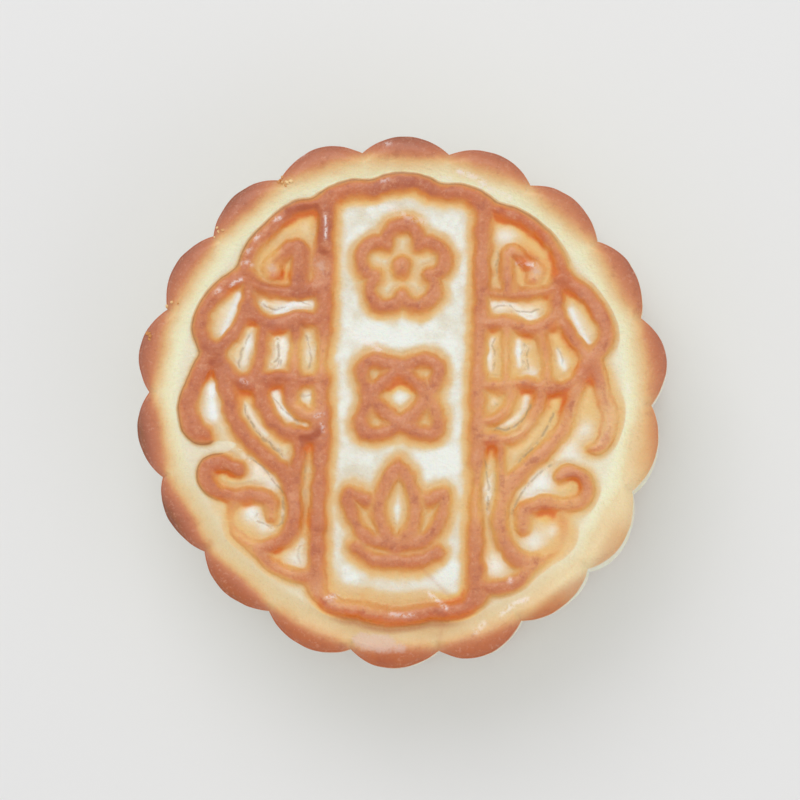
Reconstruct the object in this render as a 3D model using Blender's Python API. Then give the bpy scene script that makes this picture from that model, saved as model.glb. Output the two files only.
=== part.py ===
"""A round baked mooncake with a scalloped rim and a raised ornament moulded on its top.

It is one solid. The body is a turned profile pushed out into lobes. The raised lines of the
ornament are strips with round tops, rooted in its sunken top and joined to it. The frame is
metres with +Z up, the origin at the middle of the flat base, and +Y the top of the ornament.
"""

import math

import bmesh
import bpy
from mathutils import Matrix, Vector

MM = 0.001

# Driving dimensions, in millimetres.
LOBES = 18
LOBE_TIP = 37.5  # radius to the top of a lobe
LOBE_CREASE = 35.6  # radius to the crease between two lobes
HEIGHT = 27.0  # base to the crest of the rim
FLOOR_DEPTH = 1.5  # crest of the rim down to the sunken top
GROOVE_RADIUS = 31.0  # where the rim runs out into the sunken top
CREST_RADIUS = 35.2
BASE_RADIUS = 36.3  # edge of the flat that it rests on
RELIEF = 1.2  # height of a raised line above the sunken top
ROOT = 1.2  # how far a raised line reaches down into the body
END_SCALE = 0.6  # a free end narrows to this share of its line's width

FLOOR = HEIGHT - FLOOR_DEPTH

# How finely the round shapes are divided.
STEPS_PER_LOBE = 8
PETAL_STEPS = 7
RING_STEPS = 24
EYE_SIDES = 12
SPAN_PIECES = 12  # pieces that each span of a curved line is first cut into
TURN_STEP = math.radians(17)  # a curved line gets a point each time it has turned this far
LONGEST_STEP = 5.0
WELD = 0.00001  # metres, between a strip's caps and its sides

# Rim and wall from the groove outwards and down: radius, height, and the share of the lobes'
# scallop that reaches this ring.
PROFILE = (
    (GROOVE_RADIUS, FLOOR, 0.0),
    (32.4, FLOOR + 0.55, 0.0),
    (33.8, HEIGHT - 0.35, 0.25),
    (CREST_RADIUS, HEIGHT, 0.7),
    (36.5, HEIGHT - 0.3, 0.95),
    (37.2, HEIGHT - 1.0, 1.0),
    (LOBE_TIP, HEIGHT - 2.2, 1.0),
    (LOBE_TIP, HEIGHT * 0.45, 1.0),
    (37.3, 2.4, 1.0),
    (37.0, 0.8, 0.95),
    (BASE_RADIUS, 0.0, 0.9),
)

# The raised lines of the right half, each with its width and the points that it passes
# through. The left half mirrors them.
SIDE_LINES = {
    "panel_bar": (2.3, ((11.2, 28.0), (11.2, -27.6))),
    "corner_border": (
        1.9,
        ((11.2, 28.0), (13.0, 27.3), (15.6, 26.5), (19.3, 24.0), (21.9, 21.0), (23.0, 17.6)),
    ),
    "corner_sill": (1.8, ((23.0, 17.4), (20.6, 15.9), (17.2, 15.2), (13.8, 15.2), (11.2, 15.9))),
    "leaf_outer": (2.3, ((23.0, 17.5), (25.9, 15.5), (28.1, 12.2), (28.6, 9.0), (26.7, 5.9))),
    "leaf_inner": (1.8, ((22.0, 17.2), (22.0, 13.6), (23.5, 9.8), (26.5, 5.9))),
    "brow": (2.1, ((11.2, 11.0), (14.8, 11.2), (18.2, 10.3), (20.6, 11.3), (21.9, 12.6))),
    "rib_inner": (1.8, ((15.0, 11.2), (15.0, 2.1))),
    "rib_outer": (1.6, ((19.5, 10.5), (19.9, 6.5), (20.8, 1.9))),
    "waist": (
        2.0,
        ((11.2, 2.5), (14.4, 2.4), (17.5, 2.7), (21.2, 1.9), (24.3, 2.9), (26.6, 5.8)),
    ),
    "arc_small": (1.8, ((15.7, 2.3), (15.4, -0.6), (13.6, -2.3), (11.2, -2.7))),
    "arc_large": (2.1, ((19.9, 2.1), (19.3, -1.4), (16.6, -4.7), (11.2, -5.5))),
    "stem": (1.8, ((14.2, -5.4), (14.5, -10.0), (15.1, -13.2))),
}

# The same for the lines that curl to a free end, which is their last point.
SIDE_CURLS = {
    "corner_hook": (
        2.2,
        (
            (14.9, 15.4),
            (14.8, 18.4),
            (14.8, 21.0),
            (16.1, 21.2),
            (17.6, 20.2),
            (18.8, 19.0),
            (18.5, 17.9),
        ),
    ),
    "third_lobe": (
        2.7,
        ((26.7, 6.0), (28.9, 2.9), (29.9, -0.8), (29.6, -3.8), (28.3, -5.4), (27.1, -5.7)),
    ),
    "long_scroll": (
        2.3,
        (
            (26.7, 5.8),
            (24.7, 1.2),
            (23.4, -3.4),
            (20.3, -7.3),
            (16.4, -10.8),
            (14.5, -15.2),
            (15.1, -19.0),
            (16.6, -21.1),
            (18.6, -22.0),
            (19.8, -21.9),
        ),
    ),
    "cloud_curl": (
        2.3,
        (
            (22.8, -10.5),
            (24.8, -9.7),
            (26.9, -10.4),
            (27.3, -12.4),
            (26.0, -14.2),
            (23.3, -14.6),
            (20.4, -14.2),
            (18.2, -15.0),
            (17.8, -17.2),
        ),
    ),
    "foot": (1.9, ((11.2, -25.7), (14.4, -25.9), (17.4, -24.9), (19.2, -22.7))),
}

# The panel's two ends, from the middle to the right. The left half mirrors them.
PANEL_WIDTH = 2.2
PANEL_ENDS = {
    "panel_head": ((0.0, 31.0), (2.6, 30.7), (5.0, 29.8), (8.0, 29.7), (10.4, 28.8), (11.6, 27.0)),
    "panel_foot": (
        (0.0, -30.4),
        (2.8, -30.1),
        (5.2, -29.5),
        (8.0, -29.3),
        (10.0, -28.6),
        (11.4, -27.0),
    ),
}

# The three motifs down the panel, each about its own centre: a plum blossom, a knot of two
# crossed rings and a lotus. The first two are worked out, and the lotus is given as a right
# half.
MOTIF_WIDTH = 2.1
BLOSSOM_CENTRE = (0.0, 18.8)
BLOSSOM_PETALS = 5
PETAL_TIP = 6.2
PETAL_CREASE = 4.0
EYE_RADIUS = 1.6
EYE_TOP_RADIUS = 1.0
KNOT_CENTRE = (0.0, 0.4)
RING_LENGTH = 6.9  # half the long way across one of the knot's rings
RING_BREADTH = 3.1
RING_TILT = math.radians(45)
LOTUS_CENTRE = (0.0, -16.3)
LOTUS_HEART = ((0.0, 6.7), (1.8, 4.0), (2.6, 0.9), (2.0, -2.1), (0.0, -4.4))
LOTUS_PETAL = ((0.6, -4.1), (3.9, -3.4), (6.2, -0.5), (6.8, 3.0), (4.5, 2.2))
LOTUS_BASE = ((0.0, -6.6), (3.1, -6.3), (5.8, -4.9))

CRUST_COLOUR = (0.72, 0.42, 0.20, 1.0)
CRUST_ROUGHNESS = 0.45


def clear_scene():
    for obj in list(bpy.data.objects):
        bpy.data.objects.remove(obj, do_unlink=True)


def new_collection(name):
    made = bpy.data.collections.new(name)
    bpy.context.scene.collection.children.link(made)
    return made


def crust_material():
    material = bpy.data.materials.new("baked_crust")
    material.use_nodes = True
    shader = material.node_tree.nodes["Principled BSDF"]
    shader.inputs["Base Color"].default_value = CRUST_COLOUR
    shader.inputs["Roughness"].default_value = CRUST_ROUGHNESS
    shader.inputs["Metallic"].default_value = 0.0
    material.diffuse_color = CRUST_COLOUR
    return material


def lobed_radius(angle, lobes, tip, crease):
    """The radius of an outline of equal lobes, each one a round arc from crease to crease."""
    half = math.pi / lobes
    turned = (angle - math.pi / 2) % (2 * half)
    off = turned - 2 * half if turned > half else turned
    chord = crease * math.sin(half)
    sagitta = tip - crease * math.cos(half)
    arc = (chord**2 + sagitta**2) / (2 * sagitta)
    middle = tip - arc
    return middle * math.cos(off) + math.sqrt(arc**2 - (middle * math.sin(off)) ** 2)


def around(radius, angle):
    return Vector((radius * math.cos(angle), radius * math.sin(angle)))


def make_body(home):
    """The profile carried round, drawn in towards the creases, with a flat top and base."""
    count = LOBES * STEPS_PER_LOBE
    shape = bmesh.new()
    rings = []
    for radius, height, share in PROFILE:
        ring = []
        for step in range(count):
            angle = 2 * math.pi * step / count
            drawn_in = LOBE_TIP - lobed_radius(angle, LOBES, LOBE_TIP, LOBE_CREASE)
            place = around(radius - share * drawn_in, angle)
            ring.append(shape.verts.new(Vector((*place, height)) * MM))
        rings.append(ring)
    for upper, lower in zip(rings, rings[1:]):
        for step in range(count):
            after = (step + 1) % count
            shape.faces.new((upper[step], lower[step], lower[after], upper[after]))
    shape.faces.new(rings[0])
    shape.faces.new(reversed(rings[-1]))
    bmesh.ops.recalc_face_normals(shape, faces=shape.faces)
    body = as_object(home, "mooncake", shape)
    body.data.materials.append(crust_material())
    return body


def as_object(home, name, shape):
    mesh = bpy.data.meshes.new(name)
    shape.to_mesh(mesh)
    shape.free()
    made = bpy.data.objects.new(name, mesh)
    home.objects.link(made)
    return made


def as_helper(home, name, shape):
    """A shape that is joined to the body, and isn't a part by itself."""
    made = as_object(home, name, shape)
    made.hide_render = True
    made.display_type = "WIRE"
    return made


def smooth_line(points):
    """Points along a smooth line through the given ones, closer together where it turns."""
    knots = [Vector(point) for point in points]
    if len(knots) == 2:
        return knots
    knots = [2 * knots[0] - knots[1], *knots, 2 * knots[-1] - knots[-2]]
    fine = []
    for before, start, end, after in zip(knots, knots[1:], knots[2:], knots[3:]):
        for piece in range(SPAN_PIECES):
            t = piece / SPAN_PIECES
            fine.append(
                start
                + (end - before) * (t / 2)
                + (2 * before - 5 * start + 4 * end - after) * (t**2 / 2)
                + (3 * start - before - 3 * end + after) * (t**3 / 2)
            )
    fine.append(knots[-2])
    line = [fine[0]]
    heading = fine[1] - fine[0]
    for here, ahead in zip(fine[1:], fine[2:]):
        turned = heading.angle(ahead - here)
        if turned > TURN_STEP or (here - line[-1]).length > LONGEST_STEP:
            line.append(here)
            heading = ahead - here
    return line + [fine[-1]]


def ridge(home, name, width, line, closed=False, free_ends=()):
    """A strip with upright sides and a round top, rooted in the body, along a line of points."""
    radius = width / 2
    upright = RELIEF - radius + ROOT  # the height of its sides
    curve = bpy.data.curves.new(name, "CURVE")
    curve.dimensions = "3D"
    curve.twist_mode = "Z_UP"
    curve.bevel_depth = radius * MM
    curve.bevel_resolution = 1
    curve.extrude = upright / 2 * MM
    curve.use_fill_caps = True
    spline = curve.splines.new("POLY")
    spline.points.add(len(line) - 1)
    spline.use_cyclic_u = closed
    height = FLOOR - ROOT + upright / 2
    for point, place in zip(spline.points, line):
        point.co = (*(Vector((*place, height)) * MM), 1.0)
    for end in free_ends:
        spline.points[end].radius = END_SCALE
    guide = bpy.data.objects.new(name, curve)
    home.objects.link(guide)
    bpy.context.view_layer.update()
    graph = bpy.context.evaluated_depsgraph_get()
    mesh = bpy.data.meshes.new_from_object(guide.evaluated_get(graph))
    shape = bmesh.new()
    shape.from_mesh(mesh)
    shape.transform(guide.matrix_world)
    bmesh.ops.remove_doubles(shape, verts=shape.verts, dist=WELD)
    bmesh.ops.recalc_face_normals(shape, faces=shape.faces)
    bpy.data.objects.remove(guide, do_unlink=True)
    bpy.data.meshes.remove(mesh)
    return as_helper(home, name, shape)


def mirrored(points):
    return [(-x, y) for x, y in points]


def whole(right_half):
    """A line across the middle, from its right half."""
    return mirrored(right_half[:0:-1]) + list(right_half)


def moved(points, centre):
    return [(x + centre[0], y + centre[1]) for x, y in points]


def on_both_sides(home, name, width, points, free_ends=()):
    ridge(home, name + "_right", width, smooth_line(points), free_ends=free_ends)
    ridge(home, name + "_left", width, smooth_line(mirrored(points)), free_ends=free_ends)


def make_side_ornament(home):
    for name, (width, points) in SIDE_LINES.items():
        on_both_sides(home, name, width, points)
    for name, (width, points) in SIDE_CURLS.items():
        free_ends = (0, -1) if name == "cloud_curl" else (-1,)
        on_both_sides(home, name, width, points, free_ends)


def make_panel(home):
    for name, points in PANEL_ENDS.items():
        ridge(home, name, PANEL_WIDTH, smooth_line(whole(points)))


def make_blossom(home):
    """Five round petals as one closed line, and a round eye."""
    count = BLOSSOM_PETALS * PETAL_STEPS
    petals = []
    for step in range(count):
        angle = math.pi / 2 + 2 * math.pi * step / count
        radius = lobed_radius(angle, BLOSSOM_PETALS, PETAL_TIP, PETAL_CREASE)
        petals.append(Vector(BLOSSOM_CENTRE) + around(radius, angle))
    ridge(home, "blossom_petals", MOTIF_WIDTH, petals, closed=True)
    shape = bmesh.new()
    bmesh.ops.create_cone(
        shape,
        cap_ends=True,
        segments=EYE_SIDES,
        radius1=EYE_RADIUS * MM,
        radius2=EYE_TOP_RADIUS * MM,
        depth=(RELIEF + ROOT) * MM,
    )
    place = Vector((*BLOSSOM_CENTRE, FLOOR + (RELIEF - ROOT) / 2)) * MM
    bmesh.ops.translate(shape, verts=shape.verts, vec=place)
    as_helper(home, "blossom_eye", shape)


def make_knot(home):
    """Two long rings that cross in an X."""
    for name, tilt in (("knot_ring_rising", RING_TILT), ("knot_ring_falling", -RING_TILT)):
        ring = []
        for step in range(RING_STEPS):
            angle = 2 * math.pi * step / RING_STEPS
            place = Vector((RING_LENGTH * math.cos(angle), RING_BREADTH * math.sin(angle)))
            place.rotate(Matrix.Rotation(tilt, 2))
            ring.append(Vector(KNOT_CENTRE) + place)
        ridge(home, name, MOTIF_WIDTH, ring, closed=True)


def make_lotus(home):
    heart = smooth_line(moved(whole(LOTUS_HEART), LOTUS_CENTRE))
    ridge(home, "lotus_heart", MOTIF_WIDTH, heart)
    for side, points in (("right", LOTUS_PETAL), ("left", mirrored(LOTUS_PETAL))):
        petal = smooth_line(moved(points, LOTUS_CENTRE))
        ridge(home, "lotus_petal_" + side, MOTIF_WIDTH, petal, free_ends=(-1,))
    base = smooth_line(moved(whole(LOTUS_BASE), LOTUS_CENTRE))
    ridge(home, "lotus_base", MOTIF_WIDTH, base, free_ends=(0, -1))


def main():
    clear_scene()
    parts = new_collection("mooncake")
    ridges = new_collection("ridges")
    body = make_body(parts)
    make_side_ornament(ridges)
    make_panel(ridges)
    make_blossom(ridges)
    make_knot(ridges)
    make_lotus(ridges)
    join = body.modifiers.new("ornament", "BOOLEAN")
    join.operation = "UNION"
    join.operand_type = "COLLECTION"
    join.collection = ridges
    join.solver = "EXACT"


main()
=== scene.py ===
"""The looks of the mooncake: its scalloped form, the ornament moulded on top, and its baked,
softly glazed crust. Sizes are in millimetres in the cake's own frame, and become metres when a
mesh is made."""

import math

import bmesh
import bpy
import numpy as np
from mathutils import Matrix, Vector
from mathutils.bvhtree import BVHTree


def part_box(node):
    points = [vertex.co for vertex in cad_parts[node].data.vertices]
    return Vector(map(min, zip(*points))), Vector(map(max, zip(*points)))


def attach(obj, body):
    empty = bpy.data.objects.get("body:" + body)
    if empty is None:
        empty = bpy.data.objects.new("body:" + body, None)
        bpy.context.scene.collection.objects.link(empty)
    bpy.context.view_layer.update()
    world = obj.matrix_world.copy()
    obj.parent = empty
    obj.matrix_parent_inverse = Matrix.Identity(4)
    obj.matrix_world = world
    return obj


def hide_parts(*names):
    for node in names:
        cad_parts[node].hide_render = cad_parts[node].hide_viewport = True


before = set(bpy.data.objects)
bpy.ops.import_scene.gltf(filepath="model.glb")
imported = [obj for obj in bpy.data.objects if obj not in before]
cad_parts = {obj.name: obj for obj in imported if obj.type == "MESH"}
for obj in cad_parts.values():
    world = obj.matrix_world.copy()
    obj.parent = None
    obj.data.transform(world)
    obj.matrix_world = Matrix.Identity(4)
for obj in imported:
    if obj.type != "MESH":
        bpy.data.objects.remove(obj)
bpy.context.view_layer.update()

MM = 0.001
NODE = "mooncake"
LOW, HIGH = (np.array(corner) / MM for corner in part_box(NODE))

# The form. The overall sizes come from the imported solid.
HEIGHT = float(HIGH[2])
LOBE_TIP = float(HIGH[1])
LOBE_CREASE = LOBE_TIP - 1.9
LOBES = 18
FLOOR = HEIGHT - 1.5  # the sunken top
RELIEF = 1.05  # height of a raised line above it
INNER_RADIUS = 31.0  # inside it lies the ornament, outside it the rim

# How finely it is divided.
INNER_RINGS = 117
COLUMNS = 8 * INNER_RINGS
LINE_PIECES = 8

# Rim, wall and base from the inner radius outwards, down and in again: radius, height, share
# of the scallop, and the number of rows of faces up to the next point.
PROFILE = (
    (INNER_RADIUS, FLOOR - 0.05, 0.0, 4),
    (32.4, FLOOR + 0.5, 0.02, 4),
    (33.9, HEIGHT - 0.42, 0.16, 4),
    (35.3, HEIGHT - 0.08, 0.62, 4),
    (36.6, HEIGHT - 0.38, 0.97, 3),
    (37.25, HEIGHT - 1.0, 1.0, 3),
    (LOBE_TIP, HEIGHT - 2.3, 1.0, 6),
    (LOBE_TIP, HEIGHT * 0.5, 1.0, 6),
    (37.35, 2.6, 1.0, 3),
    (37.0, 0.7, 0.97, 2),
    (36.3, 0.0, 0.9, 1),
    (34.0, 0.0, 0.6, 1),
    (24.0, 0.0, 0.0, 1),
    (10.0, 0.0, 0.0, 1),
)

# The ornament's right half, each line with its width and the points that it passes through.
# The left half mirrors it.
SIDE_LINES = {
    "panel_bar": (2.3, ((11.2, 28.0), (11.2, -27.6))),
    "corner_border": (
        1.8,
        ((11.2, 28.0), (13.0, 27.3), (15.6, 26.5), (19.3, 24.0), (21.9, 21.0), (23.0, 17.6)),
    ),
    "corner_sill": (1.8, ((23.0, 17.4), (20.6, 15.9), (17.2, 15.2), (13.8, 15.2), (11.2, 15.9))),
    "leaf_outer": (2.3, ((23.0, 17.5), (25.9, 15.5), (28.1, 12.2), (28.6, 9.0), (26.7, 5.9))),
    "leaf_inner": (1.8, ((22.0, 17.2), (22.0, 13.6), (23.5, 9.8), (26.5, 5.9))),
    "brow": (2.1, ((11.2, 11.0), (14.8, 11.2), (18.2, 10.3), (20.6, 11.3), (21.9, 12.6))),
    "rib_inner": (1.8, ((15.0, 11.2), (15.0, 2.1))),
    "rib_outer": (1.6, ((19.5, 10.5), (19.9, 6.5), (20.8, 1.9))),
    "waist": (
        2.0,
        ((11.2, 2.5), (14.4, 2.4), (17.5, 2.7), (21.2, 1.9), (24.3, 2.9), (26.6, 5.8)),
    ),
    "arc_small": (1.8, ((15.7, 2.3), (15.4, -0.6), (13.6, -2.3), (11.2, -2.7))),
    "arc_large": (2.1, ((19.9, 2.1), (19.3, -1.4), (16.6, -4.7), (11.2, -5.5))),
    "stem": (1.8, ((14.2, -5.4), (14.5, -10.0), (15.1, -13.2))),
    "corner_hook": (
        2.2,
        (
            (14.9, 15.4),
            (14.8, 18.4),
            (14.8, 21.0),
            (16.1, 21.2),
            (17.6, 20.2),
            (18.8, 19.0),
            (18.5, 17.9),
        ),
    ),
    "third_lobe": (
        2.7,
        ((26.7, 6.0), (28.9, 2.9), (29.9, -0.8), (29.6, -3.8), (28.3, -5.4), (27.1, -5.7)),
    ),
    "long_scroll": (
        2.3,
        (
            (26.7, 5.8),
            (24.7, 1.2),
            (23.4, -3.4),
            (20.3, -7.3),
            (16.4, -10.8),
            (14.5, -15.2),
            (15.1, -19.0),
            (16.6, -21.1),
            (18.6, -22.0),
            (19.8, -21.9),
        ),
    ),
    "cloud_curl": (
        2.3,
        (
            (22.8, -10.5),
            (24.8, -9.7),
            (26.9, -10.4),
            (27.3, -12.4),
            (26.0, -14.2),
            (23.3, -14.6),
            (20.4, -14.2),
            (18.2, -15.0),
            (17.8, -17.2),
        ),
    ),
    "cheek": (1.6, ((23.4, -15.6), (23.9, -17.8), (22.9, -20.0), (20.8, -21.5))),
    "foot": (1.9, ((11.2, -25.7), (14.4, -25.9), (17.4, -24.9), (19.2, -22.7))),
}
PANEL_ENDS = {
    "panel_head": ((0.0, 31.0), (2.6, 30.7), (5.0, 29.8), (8.0, 29.7), (10.4, 28.8), (11.6, 27.0)),
    "panel_foot": (
        (0.0, -30.4),
        (2.8, -30.1),
        (5.2, -29.5),
        (8.0, -29.3),
        (10.0, -28.6),
        (11.4, -27.0),
    ),
}
PANEL_WIDTH = 2.2

# The three motifs down the panel: a plum blossom, a knot of two crossed rings and a lotus.
MOTIF_WIDTH = 2.1
BLOSSOM_CENTRE = (0.0, 18.8)
BLOSSOM_PETALS = 5
PETAL_TIP = 6.2
PETAL_CREASE = 4.0
EYE_WIDTH = 2.8
KNOT_CENTRE = (0.0, 0.4)
RING_LENGTH = 6.9
RING_BREADTH = 3.1
RING_TILT = math.radians(45)
ROUND_STEPS = 60
LOTUS_CENTRE = (0.0, -16.3)
LOTUS_HEART = ((0.0, 6.7), (1.8, 4.0), (2.6, 0.9), (2.0, -2.1), (0.0, -4.4))
LOTUS_PETAL = ((0.6, -4.1), (3.9, -3.4), (6.2, -0.5), (6.8, 3.0), (4.5, 2.2))
LOTUS_BASE = ((0.0, -6.6), (3.1, -6.3), (5.8, -4.9))

BLEND = 0.28  # how softly raised lines run into each other
FAR = 4.0  # distance past which a raised line has no say

# How the hand-pressed, baked rim differs from its mould: angle and spread in degrees, how far
# it is pushed out and round, and how much more it is baked.
UNEVEN_RIM = (
    (350, 10, -0.65, 0.0, -0.4),
    (334, 7, -0.4, 0.0, -0.65),
    (320, 5, 0.3, -0.45, -0.42),
    (312, 8, -0.6, 0.0, -0.6),
    (288, 6, 0.45, 0.0, 0.0),
    (265, 7, 0.45, 0.0, 0.1),
    (250, 6, 0.0, 0.0, -0.22),
    (235, 8, -0.6, -0.6, 0.42),
    (213, 9, -0.6, -0.9, 0.38),
    (187, 12, 0.3, -0.6, 0.32),
    (169, 6, 0.4, 0.0, -0.1),
    (140, 12, 0.0, 0.0, 0.22),
    (123, 5, 0.3, 0.0, 0.0),
    (108, 5, 0.25, 0.0, 0.05),
    (90, 6, 0.0, 0.0, 0.12),
    (68, 8, 0.0, 0.0, -0.05),
    (50, 6, 0.0, 0.0, -0.14),
    (35, 5, 0.35, 0.0, 0.08),
    (12, 8, 0.6, 0.0, -0.1),
)
RIM_BAKE = 0.82
BELLY = 0.3  # how far the wall swells
SLUMP = 0.85  # how far it sags outwards where the rim is palest
SLUMP_ANGLE = -29.0
SLUMP_SPREAD = 12.0
SLUMP_HEADING = math.radians(-78)

# Where the two sides of the ornament aren't alike: x, y, reach, and the way the lines moved.
LINE_SHIFTS = (
    (-20.0, 22.5, 3.5, 0.4, -0.2),
    (20.0, 24.0, 4.0, 0.0, 0.05),
    (18.6, 19.9, 1.9, 0.1, -0.4),
    (20.4, 6.8, 2.2, 0.45, 0.0),
    (28.0, -6.0, 2.5, 0.1, -0.6),
    (18.0, -24.0, 5.0, 0.0, -0.6),
    (-16.5, -25.0, 4.0, 0.0, 0.55),
    (-9.8, 25.0, 2.5, 0.2, 0.0),
    (-14.5, 27.0, 2.5, 0.0, 0.2),
    (29.6, 2.8, 2.2, -1.1, 0.0),
    (-29.8, 2.6, 2.0, 0.4, 0.0),
    (27.6, -11.0, 2.0, -0.5, -0.2),
    (-7.0, 30.6, 2.0, 0.0, 0.3),
)

# Soft round marks on the top: x, y, reach and strength.
WIDTH_MARKS = (  # how much lines widen
    (-17.5, 2.3, 3.0, 0.2),
    (-17.0, 11.0, 3.0, 0.15),
    (-22.0, 1.8, 2.0, 0.2),
    (-26.9, 5.8, 1.3, 0.3),
    (26.9, 5.4, 1.1, 0.15),
    (-15.2, -11.2, 1.2, 0.25),
    (15.4, -11.4, 1.2, 0.2),
    (11.0, -10.5, 2.2, -0.4),
    (-24.8, -9.6, 1.8, 0.15),
    (-28.0, -11.5, 1.6, 0.2),
    (24.8, -9.8, 1.8, 0.15),
    (17.0, 4.5, 4.5, -0.12),
    (14.0, -7.5, 2.0, -0.15),
    (-20.6, 22.2, 3.0, 0.4),
    (-12.0, 18.4, 1.9, 0.75),
    (-14.8, 21.4, 1.3, 0.35),
    (-18.5, 18.4, 1.0, 0.35),
    (18.7, 18.4, 1.0, 0.3),
    (-13.5, 15.4, 1.4, 0.25),
    (24.2, -18.2, 2.2, -0.8),
    (-24.2, -18.0, 2.2, -0.5),
    (0.0, 31.0, 6.0, 0.1),
    (-11.9, 6.2, 2.2, -0.5),
    (-15.0, 6.2, 1.6, -0.2),
    (14.6, 6.6, 1.8, -0.35),
    (14.0, 15.2, 1.4, -0.4),
    (26.4, -5.9, 1.1, -0.9),
    (17.2, -4.0, 1.5, -0.3),
    (11.5, -14.2, 2.0, -0.4),
    (25.0, -9.4, 2.2, -0.25),
    (22.0, -10.8, 1.0, -0.4),
    (-9.9, -5.0, 2.2, 0.35),
    (9.9, -7.2, 1.8, 0.35),
    (16.3, -23.3, 1.3, 0.4),
    (-29.2, -6.2, 1.5, 0.35),
    (-18.3, 21.5, 1.5, -0.4),
    (-17.5, -17.4, 1.1, -0.45),
    (14.4, -27.2, 1.6, 0.3),
    (-26.2, -5.4, 1.0, -0.7),
    (18.2, 21.2, 1.3, -0.6),
    (29.2, -3.0, 3.0, -0.25),
    (-14.0, -19.6, 1.2, 0.35),
)
LOW_MARKS = (  # share of its height that a line lacks
    (-23.6, -18.2, 2.6, 0.8),
    (23.8, -18.6, 2.7, 0.95),
    (-21.2, -20.8, 1.2, 0.3),
    (22.0, -21.6, 1.4, 0.4),
    (-18.9, 18.3, 1.2, 0.5),
    (18.9, 18.4, 1.2, 0.5),
    (-11.6, 18.5, 1.7, 0.55),
    (-11.5, -27.5, 1.8, 0.5),
    (-18.0, -24.4, 1.5, 0.5),
    (29.8, 0.0, 3.4, 0.4),
)
SOFT_MARKS = (  # where a line's side melts into the floor
    (0.0, -28.2, 2.0, 0.45),
    (-4.0, -27.8, 2.0, 0.45),
    (4.0, -27.6, 2.0, 0.4),
    (-8.0, -27.2, 2.0, 0.45),
    (-25.0, 11.5, 2.0, -0.5),
    (25.3, 11.0, 2.0, -0.4),
    (-27.6, 0.0, 2.6, -0.3),
    (-23.6, -18.4, 2.8, 0.6),
    (23.8, -18.8, 2.8, 0.8),
    (29.8, 0.0, 3.4, 0.5),
    (-18.7, 18.4, 1.8, 0.5),
    (18.7, 18.4, 1.8, 0.5),
    (-19.0, 20.6, 1.8, 0.45),
    (18.2, 21.4, 1.6, 0.5),
    (14.4, 19.4, 1.8, 0.4),
    (17.5, 7.0, 2.5, 0.3),
    (22.6, 8.0, 2.0, 0.4),
    (15.5, -2.0, 3.5, 0.3),
)
LINE_BAKE = 0.97
BAKE_MARKS = (
    (29.4, -0.4, 3.6, -1.15),
    (28.6, -5.6, 1.6, -0.35),
    (17.8, 21.0, 1.6, -0.8),
    (-11.3, 6.2, 2.0, -0.95),
    (-15.0, 6.2, 1.4, -0.7),
    (14.8, 6.6, 1.7, -0.7),
    (-13.6, -1.8, 1.8, -0.75),
    (-11.2, -0.5, 1.3, -0.25),
    (17.2, -4.0, 1.6, -0.9),
    (11.3, -14.0, 2.4, -0.45),
    (-17.5, -17.4, 1.1, -0.5),
    (-18.9, 20.4, 1.6, -0.7),
    (-15.8, -24.6, 1.4, -0.4),
    (-16.0, 16.0, 4.0, 0.2),
    (-19.0, 25.0, 3.0, 0.15),
    (20.0, -9.0, 9.0, -0.5),
    (18.0, 7.0, 9.0, -0.34),
    (17.0, 21.0, 4.0, -0.25),
    (24.0, -16.0, 6.0, -0.2),
    (18.0, -25.0, 4.0, -0.15),
    (-9.5, -28.4, 2.4, -0.7),
    (-4.0, -29.2, 2.0, -0.35),
    (-23.6, -18.6, 2.4, -0.9),
    (-21.0, -21.0, 1.5, -0.4),
    (23.8, -18.6, 2.6, -0.8),
    (20.5, -21.5, 1.5, -0.2),
    (-17.5, -25.0, 2.4, -0.5),
    (-19.0, -14.6, 1.8, -0.3),
    (-18.9, 18.2, 1.3, -0.9),
    (18.9, 18.2, 1.4, -0.9),
    (-11.6, 18.5, 1.6, -0.5),
    (-11.2, 24.2, 1.8, 0.45),
    (-20.0, 9.0, 9.0, 0.06),
    (-26.8, 5.4, 2.0, 0.2),
    (0.0, 31.0, 6.0, 0.35),
    (-14.0, 27.4, 2.5, 0.2),
    (0.0, 18.8, 5.0, -0.35),
    (0.0, 0.4, 4.0, -0.25),
    (0.0, -16.0, 5.0, -0.35),
)
CORE_MARKS = (  # where a floor is almost white
    (-27.0, 0.9, 0.7, 0.5),
    (-26.8, -2.6, 1.0, 0.5),
    (26.2, -3.8, 0.8, 0.5),
    (-20.7, -16.5, 0.8, 0.9),
    (-18.9, -18.2, 0.7, 0.7),
    (-19.6, -10.2, 1.1, 0.8),
    (-18.0, -12.2, 0.8, 0.6),
    (20.2, -11.2, 1.3, 0.9),
    (18.4, -13.0, 0.8, 0.6),
    (19.4, -19.6, 1.1, 0.7),
    (22.0, -18.0, 0.7, 0.6),
    (13.9, -23.2, 1.1, 0.9),
    (-14.3, -23.0, 1.0, 0.6),
    (12.3, -12.0, 0.6, 0.7),
    (24.2, -6.8, 1.1, 0.5),
    (14.4, 23.4, 0.9, 0.6),
    (-17.2, 6.2, 0.9, 0.6),
    (-16.9, 7.6, 0.6, 0.5),
    (-21.6, 7.5, 0.6, 0.5),
    (-22.9, 4.6, 0.6, 0.4),
    (-12.9, 6.4, 0.6, 0.5),
    (-13.1, 0.2, 0.7, 0.8),
    (-17.8, 0.2, 0.6, 0.7),
    (-16.8, -1.6, 0.6, 0.6),
    (12.5, 6.5, 0.5, 0.6),
    (16.6, 7.2, 0.5, 0.6),
    (18.4, 4.6, 0.5, 0.5),
    (22.9, 5.8, 0.5, 0.5),
    (17.8, 12.4, 0.9, 0.8),
    (13.8, 13.8, 1.0, 0.8),
    (-14.6, 13.4, 1.1, 0.6),
    (-17.4, 12.8, 0.9, 0.5),
)
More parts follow.
